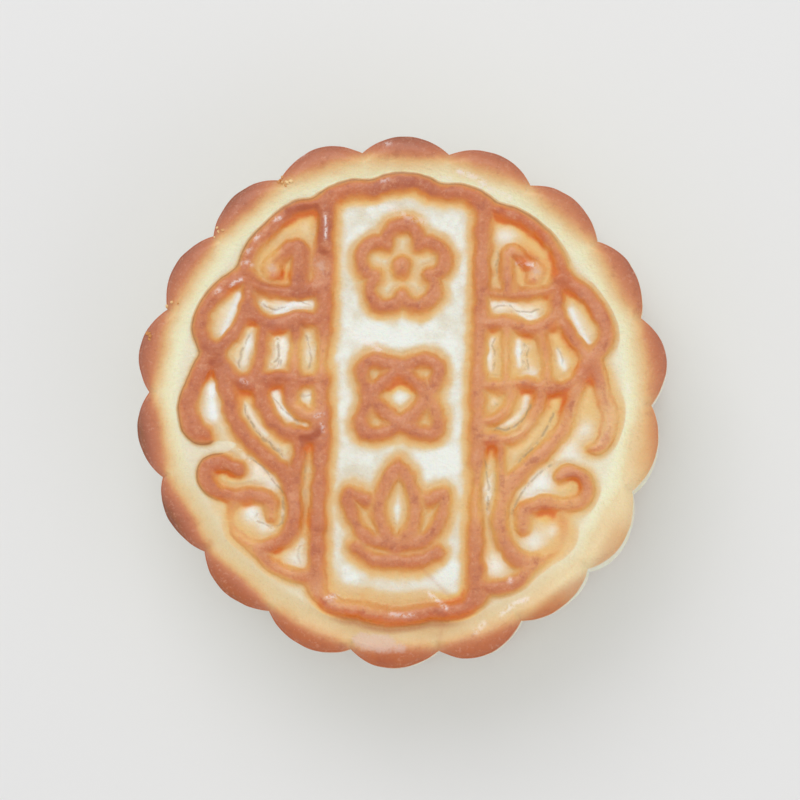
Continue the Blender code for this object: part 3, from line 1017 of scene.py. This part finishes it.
def crust_material():
    """Baked milk pastry: cream where it is deep, golden to red-brown where it stands up."""
    material = bpy.data.materials.new("baked_crust")
    material.use_nodes = True
    bench = Bench(material.node_tree)
    shader = material.node_tree.nodes["Principled BSDF"]
    place = bench.node("ShaderNodeTexCoord", out="Object")
    edge = bench.attribute("edge")
    reach = bench.attribute("reach")
    cloud = bench.noise(place, 130.0, 3.0, 0.5) - 0.5
    blotch = bench.noise(place, 420.0, 4.0, 0.55) - 0.5
    grain = bench.noise(place, 1900.0, 3.0, 0.6) - 0.5

    # The raised lines, from their crests to the floor beside them.
    across = (edge + blotch * 0.5 + grain * 0.25 + 1.4) / 3.4
    deep_lines = bench.node(
        "ShaderNodeValToRGB",
        ramp_of(
            (0.00, "c67549"),
            (0.14, "c9784a"),
            (0.26, "cf7f4c"),
            (0.35, "d8904f"),
            (0.41, "e0a45e"),
            (0.485, "e2ae6c"),
            (0.56, "e1b87e"),
            (0.65, "e1c190"),
            (0.73, "e3cda5"),
            (0.83, "e7d8b9"),
            (1.00, "ebe3c9"),
        ),
        {"Fac": across},
    )
    pale_lines = bench.node(
        "ShaderNodeValToRGB",
        ramp_of(
            (0.00, "dc9868"),
            (0.14, "dd9a64"),
            (0.26, "e2a264"),
            (0.35, "e6ae66"),
            (0.41, "e8b66c"),
            (0.485, "e8bc76"),
            (0.56, "e7c184"),
            (0.65, "e7c792"),
            (0.73, "e8cfa2"),
            (0.85, "e9dab8"),
            (1.00, "ece4c8"),
        ),
        {"Fac": across},
    )
    tone = bench.attribute("tone")
    lines = bench.mix(bench.smooth(tone + cloud * 0.3, 0.3, 0.95), pale_lines, deep_lines)
    barely = bench.smooth(tone, 0.2, -0.35) * (1 - bench.smooth(across, 0.3, 0.6))
    lines = bench.mix(barely * 0.75, lines, colour("e9bf88"))
    # Painted shade: the orange where glaze pooled in corners and on the sides that face down, away from the
    # light, also stands for shade and for light glowing through the crust there.
    pool_and_shade_ramp = bench.node(
        "ShaderNodeValToRGB",
        ramp_of(
            (0.00, "c26c46"),
            (0.16, "c4683c"),
            (0.26, "ca662e"),
            (0.34, "d66e26"),
            (0.41, "e28428"),
            (0.49, "ea9834"),
            (0.56, "ecac4a"),
            (0.64, "eaba66"),
            (0.72, "e9c684"),
            (0.84, "ead4a4"),
            (1.00, "ebdfc0"),
        ),
        {"Fac": across},
    )
    pool = bench.attribute("pool") * (0.95 + blotch * 0.9)
    lines = bench.mix(pool, lines, pool_and_shade_ramp)

    # Redder, darker and paler patches along the crests.
    crest = 1 - bench.smooth(edge, -0.8, -0.1)
    patches = bench.noise(place, 560.0, 4.0, 0.65)
    flecks = bench.noise(place, 1700.0, 3.0, 0.65)
    baked_more = crest * bench.smooth(tone, 1.0, 1.35)
    lines = bench.mix(baked_more * 0.7, lines, colour("ab5634"))
    lines = bench.mix(crest * bench.smooth(patches, 0.5, 0.68) * 0.55, lines, colour("ac5636"))
    lines = bench.mix(crest * bench.smooth(patches, 0.48, 0.3) * 0.5, lines, colour("dfa078"))
    lines = bench.mix(crest * bench.smooth(cloud, 0.02, 0.2) * 0.35, lines, colour("dd9a72"))
    lines = bench.mix(crest * bench.smooth(flecks, 0.52, 0.72) * bench.smooth(tone, 0.0, 1.0) * 0.25, lines, colour("a8532a"))
    lines = bench.mix(crest * bench.smooth(flecks, 0.46, 0.26) * 0.3, lines, colour("e6ad85"))

    # The milky floor of the panel, cloudy white, and the warmer floors.
    warm = bench.attribute("warm")
    lines = bench.mix(
        bench.smooth(across, 0.42, 0.72) * warm * 0.85, lines, colour("e9c07a")
    )
    milk = bench.mix(
        bench.smooth(cloud + blotch * 0.6, -0.24, 0.12), colour("ddd5bf"), colour("eef1e9")
    )
    milky = bench.attribute("milk")
    lines = bench.mix(milky * bench.smooth(edge, 0.9, 1.5) * 0.8, lines, colour("e2d2b6"))
    deep = bench.smooth(edge + blotch * 0.9, 1.0, 1.9)
    lines = bench.mix(deep * milky * (1 - warm), lines, milk)

    # The rim, from its groove out to its brown edge.
    outward = bench.math("MAXIMUM", reach - 31.2 + cloud * 1.1 + blotch * 0.9, 0.0)
    bake = bench.attribute("rim_bake")
    first = bench.math("MINIMUM", outward, 2.3)
    baked = first * (0.8 + bake * 0.2) + (outward - first) * (0.1 + bake * 0.9)
    rim = bench.node(
        "ShaderNodeValToRGB",
        ramp_of(
            (0.00, "f1f2d4"),
            (0.13, "f0edca"),
            (0.22, "eee3b8"),
            (0.30, "ead1a0"),
            (0.39, "e3b77c"),
            (0.46, "d89961"),
            (0.53, "ca7e50"),
            (0.62, "be6f48"),
            (0.72, "b36746"),
            (0.83, "a45b3c"),
            (0.93, "94542f"),
            (1.00, "824628"),
        ),
        {"Fac": baked / 7.0},
    )
    south = bench.attribute("south")
    # Darker gold in the groove towards the bottom, most below the panel's foot: partly the crust's own bake,
    # partly painted shade.
    gilt = (1 - bench.smooth(reach + cloud * 2.0, 32.2, 34.8)) * bench.attribute("gilt")
    rim = bench.mix(gilt * 0.8, rim, colour("cc9a50"))
    rim = bench.mix(south * bench.smooth(reach, 34.4, 36.4) * 0.62, rim, colour("bc5c10"))
    spots = bench.smooth(outward / 5.0, 0.4, 0.9) * bench.smooth(bake, 0.2, 0.9) * 0.5
    rim = bench.mix(bench.smooth(patches, 0.52, 0.7) * spots, rim, colour("a85a34"))
    rim = bench.mix(bench.smooth(flecks, 0.46, 0.28) * spots * 0.8, rim, colour("dca184"))
    ridge_bake = 1 - bench.smooth(edge, -0.2, 1.3)
    rim_share = bench.smooth(reach, 31.0, 36.0)
    on_rim = bench.smooth(rim_share - ridge_bake, -0.12, 0.12) * bench.smooth(reach, 30.4, 31.8)
    top = bench.mix(on_rim, lines, rim)

    # The fold around the ornament and the foot's lower side, both with painted shade, film, painted highlights
    # of wet glaze, cracks with pale lips, and pooled orange with painted shade at the foot of the raised
    # lines.
    # Painted shade: a darker orange-brown band just outside the lower side of the panel's foot.
    shade = bench.smooth(edge, 0.0, 0.4) * bench.smooth(edge + cloud, 2.3, 0.9)
    top = bench.mix(shade * bench.attribute("under") * 0.8, top, colour("b26c20"))
    # Painted shade: a dark line in the crease along the ornament's outer edge, on its upper left half.
    fold = bench.smooth(edge, -0.35, 0.05) * bench.smooth(edge, 0.7, 0.2)
    top = bench.mix(fold * bench.attribute("fold") * 0.6, top, colour("9c5028"))
    dark = bench.attribute("dark")
    burnt = bench.mix(bench.smooth(dark, 0.25, 0.75), colour("c0641f"), colour("a84812"))
    top = bench.mix(dark * (0.85 + blotch), top, burnt)
    film = bench.smooth(bench.attribute("smear") + blotch * 0.6 + cloud * 0.4 + grain * 0.3, 0.26, 0.56) * 0.65
    top = bench.mix(film, top, colour("dcbcac"))
    # Painted highlights: glints of light on the wet glaze.
    bright = bench.attribute("bright") * bench.smooth(flecks, 0.38, 0.56)
    top = bench.mix(bright, top, colour("fbf0ec"))
    offset = bench.math("ABSOLUTE", bench.attribute("crack") + grain * 0.2 + blotch * 0.25)
    strength = bench.attribute("crack_depth")
    lips = (1 - bench.smooth(offset, 0.15, 1.1)) * bench.smooth(patches, 0.4, 0.56)
    core = bench.attribute("core") * bench.smooth(edge + blotch * 0.6, 0.1, 0.6)
    lips = lips * bench.attribute("crack_near") * bench.smooth(edge + blotch, 0.3, 0.95)
    pale = bench.math("MAXIMUM", lips, core)
    top = bench.mix(pale, top, bench.mix(bench.smooth(cloud, -0.1, 0.1), colour("f6efe0"), colour("f1f4f0")))
    broken = bench.smooth(bench.noise(place, 900.0, 3.0, 0.6), 0.36, 0.52)
    split = (1 - bench.smooth(offset, 0.0, 0.32)) * strength * broken
    top = bench.mix(split * 0.6, top, colour("a68a66"))
    # Painted shade: a strong orange band at the foot of the raised lines where the pooled orange is, and a
    # thin orange line along their foot, glaze in the crease with painted shade there.
    rising = bench.smooth(across, 0.33, 0.42)
    pool_and_shade_band = rising * (1 - bench.smooth(across, 0.46, 0.62))
    top = bench.mix(pool_and_shade_band * bench.smooth(pool, 0.4, 1.0) * 0.85, top, colour("dd6a10"))
    brink = rising * (1 - bench.smooth(across, 0.42, 0.5)) * bench.smooth(cloud + blotch * 0.8, -0.1, 0.25)
    top = bench.mix(brink * (1 - on_rim) * 0.4, top, colour("cf6a22"))
    speckle = bench.smooth(grain, 0.08, 0.3) * 0.14
    top = bench.mix(speckle, top, colour("b8663c"))

    # The wall, pale and barely baked, and the browned base.
    split_place = bench.node("ShaderNodeSeparateXYZ", None, {0: place}, out=None)
    height = Wire(bench, split_place.outputs[2]) / MM
    wall = bench.mix(
        bench.smooth(cloud + blotch * 0.6, -0.2, 0.2), colour("e6dfba"), colour("ebebd2")
    )
    shoulder = bench.smooth(height + cloud * 3.0, HEIGHT - 6.5, HEIGHT - 1.6)
    wall = bench.mix(shoulder * bench.smooth(bake, 0.15, 0.9) * 0.55, wall, colour("dfae74"))
    toe = 1 - bench.smooth(height + cloud * 3.0, 0.4, 3.4)
    wall = bench.mix(toe * 0.7, wall, colour("cf9258"))
    under = bench.mix(
        bench.smooth(cloud + blotch, -0.25, 0.25), colour("b9743f"), colour("dca968")
    )
    wall = bench.mix(1 - bench.smooth(height, 0.05, 0.5), wall, under)
    shaded = bench.mix(bench.smooth(height, HEIGHT - 2.5, HEIGHT - 1.3), wall, top)
    bench.tree.links.new(shaded.socket, shader.inputs["Base Color"])

    roughness = 0.42 + blotch * 0.25 + grain * 0.2 - bright * 0.25
    bench.tree.links.new(roughness.socket, shader.inputs["Roughness"])
    bump = bench.node(
        "ShaderNodeBump",
        None,
        {"Strength": 0.8, "Distance": 0.00018, "Height": grain * 1.2 + flecks + blotch},
    )
    bench.tree.links.new(bump.socket, shader.inputs["Normal"])
    shader.inputs["Coat Weight"].default_value = 0.35
    shader.inputs["Coat Roughness"].default_value = 0.16
    shader.inputs["Subsurface Weight"].default_value = 0.2
    shader.inputs["Subsurface Radius"].default_value = (1.0, 0.5, 0.25)
    shader.inputs["Subsurface Scale"].default_value = 0.0012
    return material


def keep_attribute(mesh, name, values):
    kept = mesh.attributes.new(name, "FLOAT", "POINT")
    kept.data.foreach_set("value", np.ascontiguousarray(values, np.float32))


def press_rim(points):
    """Pushes the rim out and round where the real one isn't even, fading towards the middle."""
    x, y, z = points.T
    radius = np.hypot(x, y)
    angle = np.degrees(np.arctan2(y, x))
    out, around = np.zeros_like(x), np.zeros_like(x)
    for centre, spread, outward, sideways, _ in UNEVEN_RIM:
        share = np.exp(-((((angle - centre + 180) % 360) - 180) ** 2) / (2 * spread**2))
        out += outward * share
        around += sideways * share
    fade = np.clip(radius / LOBE_TIP, 0, 1) ** 3
    along_x, along_y = np.cos(np.radians(angle)), np.sin(np.radians(angle))
    wall = np.clip(z / HEIGHT, 0, 1)
    swell = np.sin(math.pi * wall**1.3) * step(radius, 33, 35)
    belly = BELLY * swell
    off_slump = (angle - SLUMP_ANGLE + 180) % 360 - 180
    slump = SLUMP * swell * np.exp(-(off_slump**2) / (2 * SLUMP_SPREAD**2))
    arc = np.radians(angle) * LOBE_TIP
    rough = step(radius, 35, 36.5) * (0.05 * ripple(arc, z, 9.0, 11) + 0.03 * ripple(arc, z, 3.0, 12))
    push = out * fade + belly + rough
    points[:, 0] = x + push * along_x - around * fade * along_y + slump * math.cos(SLUMP_HEADING)
    points[:, 1] = y + push * along_y + around * fade * along_x + slump * math.sin(SLUMP_HEADING)
    return points


def make_cake():
    """The scalloped form with the ornament raised on it."""
    cake = run_tree(blank_mesh(), scallop_tree(), {"Crust": crust_material()}, "mooncake_crust")
    mesh = cake.data
    points = np.empty(len(mesh.vertices) * 3)
    mesh.vertices.foreach_get("co", points)
    points = points.reshape(-1, 3) / MM
    x, y, z = points.T
    radius = np.hypot(x, y)
    lobed = lobed_radius(np.arctan2(y, x), LOBES, LOBE_TIP, LOBE_CREASE)

    # The ornament, a little out of true.
    upper = (z > HEIGHT * 0.5) & (radius < 33.8)
    off_x, off_y = unshifted(x, y)
    off_x += 0.12 * ripple(x, y, 15.0, 3)
    off_y += 0.12 * ripple(x, y, 15.0, 4)
    edge = np.full(len(x), FAR)
    edge[upper] = edge_distance(off_x[upper], off_y[upper])
    above = np.full(len(x), FAR)
    above[upper] = edge_distance(off_x[upper], off_y[upper] + 0.2)
    facing_down = np.clip((edge - above) / 0.2, -1, 1)
    edge -= soft_marks(x, y, WIDTH_MARKS)
    angle = np.arctan2(y, x)
    outside = step(radius - outer_edge(angle, 1.5), -0.7, 0.1)
    edge += (0.12 * ripple(x, y, 4.0, 5) + 0.07 * ripple(x, y, 1.6, 8)) * (1 - 0.75 * outside)
    dark = soft_marks(x, y, DARK_MARKS) + streak_marks(x, y, DARK_STREAKS)

    sides = 0.65 - 0.3 * outside
    crest = 0.9 * step(edge, sides - 0.1, -sides) + 0.1 * step(edge, -0.4, -1.2)
    crest *= RELIEF * (1 - soft_marks(x, y, LOW_MARKS))
    cell = step(abs(x), 11.5, 13.0) * step(radius, 29.0, 25.0)
    puff = step(edge, 0.1, 1.4) * (0.1 + 0.3 * cell)
    puff *= step(radius - outer_edge(angle, 4.0), 0.1, -1.6)
    offset, crack_depth, crack_near = np.full(len(x), 3.0), np.zeros(len(x)), np.zeros(len(x))
    wave = 0.12 * ripple(x[upper], y[upper], 1.7, 21)
    cracked = crack_lines(x[upper] + wave, y[upper] + wave)
    offset[upper], crack_depth[upper], crack_near[upper] = cracked
    groove = 0.14 * crack_depth * step(abs(offset), 0.45, 0.0) + 0.07 * np.clip(dark, 0, 1)
    rough = 0.05 * ripple(x, y, 7.0, 6) + 0.03 * ripple(x, y, 2.0, 7)
    rough += 0.025 * ripple(x, y, 0.9, 13) * step(edge, 0.3, -0.3)
    raised = FLOOR + crest + puff - groove + rough
    soft = 0.12
    joined = soft * np.logaddexp(z / soft, raised / soft)
    points[:, 2] = np.where(upper, joined, z)
    points = press_rim(points)
    mesh.vertices.foreach_set("co", (points * MM).ravel())

    tone = LINE_BAKE + soft_marks(x, y, BAKE_MARKS) + 0.06 * ripple(x, y, 9.0, 9)
    degrees = np.degrees(angle)
    # Painted shade: sides that face down, away from the light, the corners, the panel's head and the lower
    # side of its foot get the pooled orange. It stands for shade and light glowing through the crust as well
    # as for glaze that ran there.
    pool = 0.45 * step(facing_down, 0.3, 0.95) + soft_marks(x, y, POOL_AND_SHADE_MARKS)
    pool += 0.3 * step(abs(x), 11.0, 10.4) * step(abs(x), 8.2, 9.2)
    head = step(abs(x), 11.0, 9.5) * step(y, 25.0, 28.0) * (1 - outside)
    pool *= 1 - 0.45 * head
    foot = step(abs(x), 13.5, 10.5) * step(y, -27.0, -30.0) * step(facing_down, 0.0, 0.8)
    pool = (pool + 0.3 * head) * (1 - 0.9 * outside) + 0.75 * foot
    rim_bake = RIM_BAKE + 0.05 * ripple(x, y, 8.0, 10)
    for centre, spread, _, _, more in UNEVEN_RIM:
        away = ((degrees - centre + 180) % 360) - 180
        rim_bake += more * np.exp(-(away**2) / (2 * spread**2))
    # The ornament's outer sides end sharply, and so do those that face up, a little: there the golden fringe
    # is narrower, painted light on the sides that face towards the light against the painted shade on those
    # that face down.
    crisp = step(degrees % 360, 35.0, 60.0) * step(degrees % 360, 235.0, 205.0)
    inner = (0.05 + 0.2 * np.clip(-facing_down, 0, 1)) * cell
    sharp = 1 + (inner * (1 - outside) + (0.5 + 1.3 * crisp) * outside) * step(edge, -0.3, 0.1)
    sharp *= 1 - soft_marks(x, y, SOFT_MARKS)
    keep_attribute(mesh, "edge", edge * sharp)
    golden = 0.4 * step(abs(x), 14.0, 5.0) * step(y, 0.0, 20.0) * step(radius, 34.2, 32.6)
    drawn_in = 0.35 * (LOBE_TIP - lobed) * step(radius, 31, 34)
    keep_attribute(mesh, "reach", radius - drawn_in + golden)
    # The crease along the ornament's outer edge, where its dark line is painted shade.
    keep_attribute(mesh, "fold", outside * crisp * np.clip(1 - 1.6 * soft_marks(x, y, LOW_MARKS), 0, 1))
    keep_attribute(mesh, "rim_bake", np.clip(rim_bake, 0, 1.5))
    keep_attribute(mesh, "tone", np.clip(tone, -0.6, 1.4))
    keep_attribute(mesh, "pool", np.clip(pool, 0, 1))
    keep_attribute(mesh, "warm", np.clip(soft_marks(x, y, WARM_MARKS), 0, 1))
    keep_attribute(mesh, "dark", np.clip(dark, 0, 1))
    # Painted highlights: glints of light on the wet glaze.
    keep_attribute(mesh, "bright", np.clip(streak_marks(x, y, GLINT_STREAKS), 0, 1))
    keep_attribute(mesh, "milk", step(abs(x), 10.6, 9.4) * step(abs(y), 30.0, 28.0))
    keep_attribute(mesh, "smear", soft_marks(x, y, SMEAR_MARKS))
    keep_attribute(mesh, "crack", offset)
    keep_attribute(mesh, "crack_depth", crack_depth)
    keep_attribute(mesh, "crack_near", crack_near)
    core = soft_marks(x, y, CORE_MARKS) + streak_marks(x, y, CORE_STREAKS)
    keep_attribute(mesh, "core", np.clip(core, 0, 1))
    keep_attribute(mesh, "south", step(y, -12.0, -30.0))
    # The groove's darker gold towards the bottom: partly the crust's own bake, partly painted shade.
    gilt = step(y + 0.35 * np.minimum(x, 0), -12.0, -30.0) * (0.6 + 0.4 * step(abs(x), 15.0, 6.0))
    keep_attribute(mesh, "gilt", gilt)
    # Beside the lower side of the panel's foot, where a band of painted shade goes.
    keep_attribute(mesh, "under", np.clip(foot * step(abs(x), 11.0, 6.0), 0, 1))
    mesh.shade_smooth()
    mesh.update()
    return cake


def crumb_tree():
    """Geometry Nodes: a crumb on each point, turned, sized and dented by its own draw."""
    tree = bpy.data.node_groups.new("crumbs", "GeometryNodeTree")
    face = tree.interface
    face.new_socket("Geometry", in_out="INPUT", socket_type="NodeSocketGeometry")
    for name, value in (("Smallest", 0.16 * MM), ("Largest", 0.4 * MM)):
        face.new_socket(name, in_out="INPUT", socket_type="NodeSocketFloat").default_value = value
    face.new_socket("Crumb", in_out="INPUT", socket_type="NodeSocketMaterial")
    face.new_socket("Geometry", in_out="OUTPUT", socket_type="NodeSocketGeometry")
    bench = Bench(tree)
    given = bench.node("NodeGroupInput", out=None)
    wire = {socket.name: Wire(bench, socket) for socket in given.outputs}
    ball = bench.node("GeometryNodeMeshIcoSphere", None, {"Radius": 1.0, "Subdivisions": 2})
    size = bench.node(
        "FunctionNodeRandomValue",
        {"data_type": "FLOAT"},
        {"Min": wire["Smallest"], "Max": wire["Largest"], "Seed": 4},
        out="Value",
    )
    turn = bench.node(
        "FunctionNodeRandomValue",
        {"data_type": "FLOAT_VECTOR"},
        {0: (0.0, 0.0, 0.0), 1: (6.28, 6.28, 6.28), "Seed": 5},
    )
    stretch = bench.node(
        "FunctionNodeRandomValue",
        {"data_type": "FLOAT_VECTOR"},
        {0: (0.8, 0.7, 0.6), 1: (1.3, 1.1, 0.9), "Seed": 6},
    )
    scale = bench.node(
        "ShaderNodeVectorMath", {"operation": "SCALE"}, {0: stretch, "Scale": size}
    )
    placed = bench.node(
        "GeometryNodeInstanceOnPoints",
        None,
        {"Points": wire["Geometry"], "Instance": ball, "Rotation": turn, "Scale": scale},
    )
    solid = bench.node("GeometryNodeRealizeInstances", None, {0: placed})
    dents = bench.node(
        "ShaderNodeTexNoise",
        None,
        {"Vector": bench.node("GeometryNodeInputPosition"), "Scale": 3200.0, "Detail": 2.0},
    )
    along = bench.node(
        "ShaderNodeVectorMath",
        {"operation": "SCALE"},
        {0: bench.node("GeometryNodeInputNormal"), "Scale": (dents - 0.5) * (0.3 * MM)},
    )
    dented = bench.node("GeometryNodeSetPosition", None, {"Geometry": solid, "Offset": along})
    dressed = bench.node(
        "GeometryNodeSetMaterial", None, {"Geometry": dented, "Material": wire["Crumb"]}
    )
    bench.node("NodeGroupOutput", None, {0: dressed}, out=None)
    return tree


def crumb_material():
    material = bpy.data.materials.new("crumbs")
    material.use_nodes = True
    bench = Bench(material.node_tree)
    shader = material.node_tree.nodes["Principled BSDF"]
    place = bench.node("ShaderNodeTexCoord", out="Object")
    patch = bench.noise(place, 300.0, 2.0, 0.5)
    baked = bench.mix(bench.smooth(patch, 0.42, 0.6), colour("efcf98"), colour("cc8a4c"))
    bench.tree.links.new(baked.socket, shader.inputs["Base Color"])
    grain = bench.noise(place, 5000.0, 3.0, 0.6)
    bump = bench.node(
        "ShaderNodeBump", None, {"Strength": 0.5, "Distance": 0.00005, "Height": grain}
    )
    bench.tree.links.new(bump.socket, shader.inputs["Normal"])
    shader.inputs["Roughness"].default_value = 0.65
    return material


def make_crumbs(cake):
    """Crumbs in the creases of the rim and on its edge, each sunk a little into the crust."""
    draw = np.random.default_rng(17)
    surface = BVHTree.FromPolygons(
        [v.co for v in cake.data.vertices], [p.vertices[:] for p in cake.data.polygons]
    )
    points = []
    for degrees, radius, spread, count in CRUMB_SPOTS:
        for _ in range(count):
            angle = math.radians(degrees)
            x, y = radius * math.cos(angle), radius * math.sin(angle)
            x, y = np.array([x, y]) + draw.normal(0, spread, 2)
            hit = surface.ray_cast(Vector((x, y, HEIGHT + 5)) * MM, Vector((0, 0, -1)))[0]
            if hit is not None and hit.z > (HEIGHT - 4) * MM:
                points.append(hit)
    mesh = bpy.data.meshes.new("crumb_spots")
    mesh.from_pydata([tuple(point) for point in points], [], [])
    crumbs = run_tree(mesh, crumb_tree(), {"Crumb": crumb_material()}, "mooncake_crumbs")
    crumbs.data.shade_smooth()
    return crumbs


def make_floor():
    shape = bmesh.new()
    bmesh.ops.create_grid(shape, x_segments=1, y_segments=1, size=2.0)
    mesh = bpy.data.meshes.new("floor")
    shape.to_mesh(mesh)
    shape.free()
    floor = bpy.data.objects.new("floor", mesh)
    bpy.context.scene.collection.objects.link(floor)
    material = bpy.data.materials.new("pale_floor")
    material.use_nodes = True
    shader = material.node_tree.nodes["Principled BSDF"]
    shader.inputs["Base Color"].default_value = colour("e6e6e6")
    shader.inputs["Roughness"].default_value = 0.9
    mesh.materials.append(material)


def make_camera():
    """Long lens almost straight above, leaning a little towards the lower right."""
    camera = bpy.data.cameras.new("camera")
    camera.lens = 120.0
    camera.sensor_width = 36.0
    camera.clip_start = 0.01
    view_width = 113.3 * MM
    distance = view_width * camera.lens / camera.sensor_width
    lean, lean_heading, roll = math.radians(4.5), math.radians(-34), math.radians(1.3)
    aim = Vector((0.0, 0.0, (HEIGHT - 1) * MM))
    away = Vector(
        (
            math.sin(lean) * math.cos(lean_heading),
            math.sin(lean) * math.sin(lean_heading),
            math.cos(lean),
        )
    )
    up = Vector((-math.sin(roll), math.cos(roll), 0.0))
    back = away.normalized()
    right = up.cross(back).normalized()
    up = back.cross(right)
    turn = Matrix((right, up, back)).transposed()
    holder = bpy.data.objects.new("camera", camera)
    holder.matrix_world = Matrix.Translation(aim + away * distance) @ turn.to_4x4()
    bpy.context.scene.collection.objects.link(holder)
    bpy.context.scene.camera = holder


def make_lights():
    for name, place, size, power in (
        ("window", (-0.15, 0.4, 0.6), 0.5, 1.4),
        ("bounce", (0.5, -0.35, 0.45), 0.6, 0.6),
    ):
        light = bpy.data.lights.new(name, "AREA")
        light.size = size
        light.energy = power
        holder = bpy.data.objects.new(name, light)
        place = Vector(place)
        holder.matrix_world = (
            Matrix.Translation(place) @ (-place).to_track_quat("-Z", "Y").to_matrix().to_4x4()
        )
        bpy.context.scene.collection.objects.link(holder)
    world = bpy.data.worlds.new("studio")
    world.use_nodes = True
    world.node_tree.nodes["Background"].inputs["Color"].default_value = (1.0, 1.0, 1.0, 1.0)
    world.node_tree.nodes["Background"].inputs["Strength"].default_value = 0.77
    bpy.context.scene.world = world
    bpy.context.scene.view_settings.view_transform = "Standard"


cake = make_cake()
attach(cake, "root")
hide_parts(NODE)
crumbs = make_crumbs(cake)
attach(crumbs, "root")
make_floor()
make_camera()
make_lights()
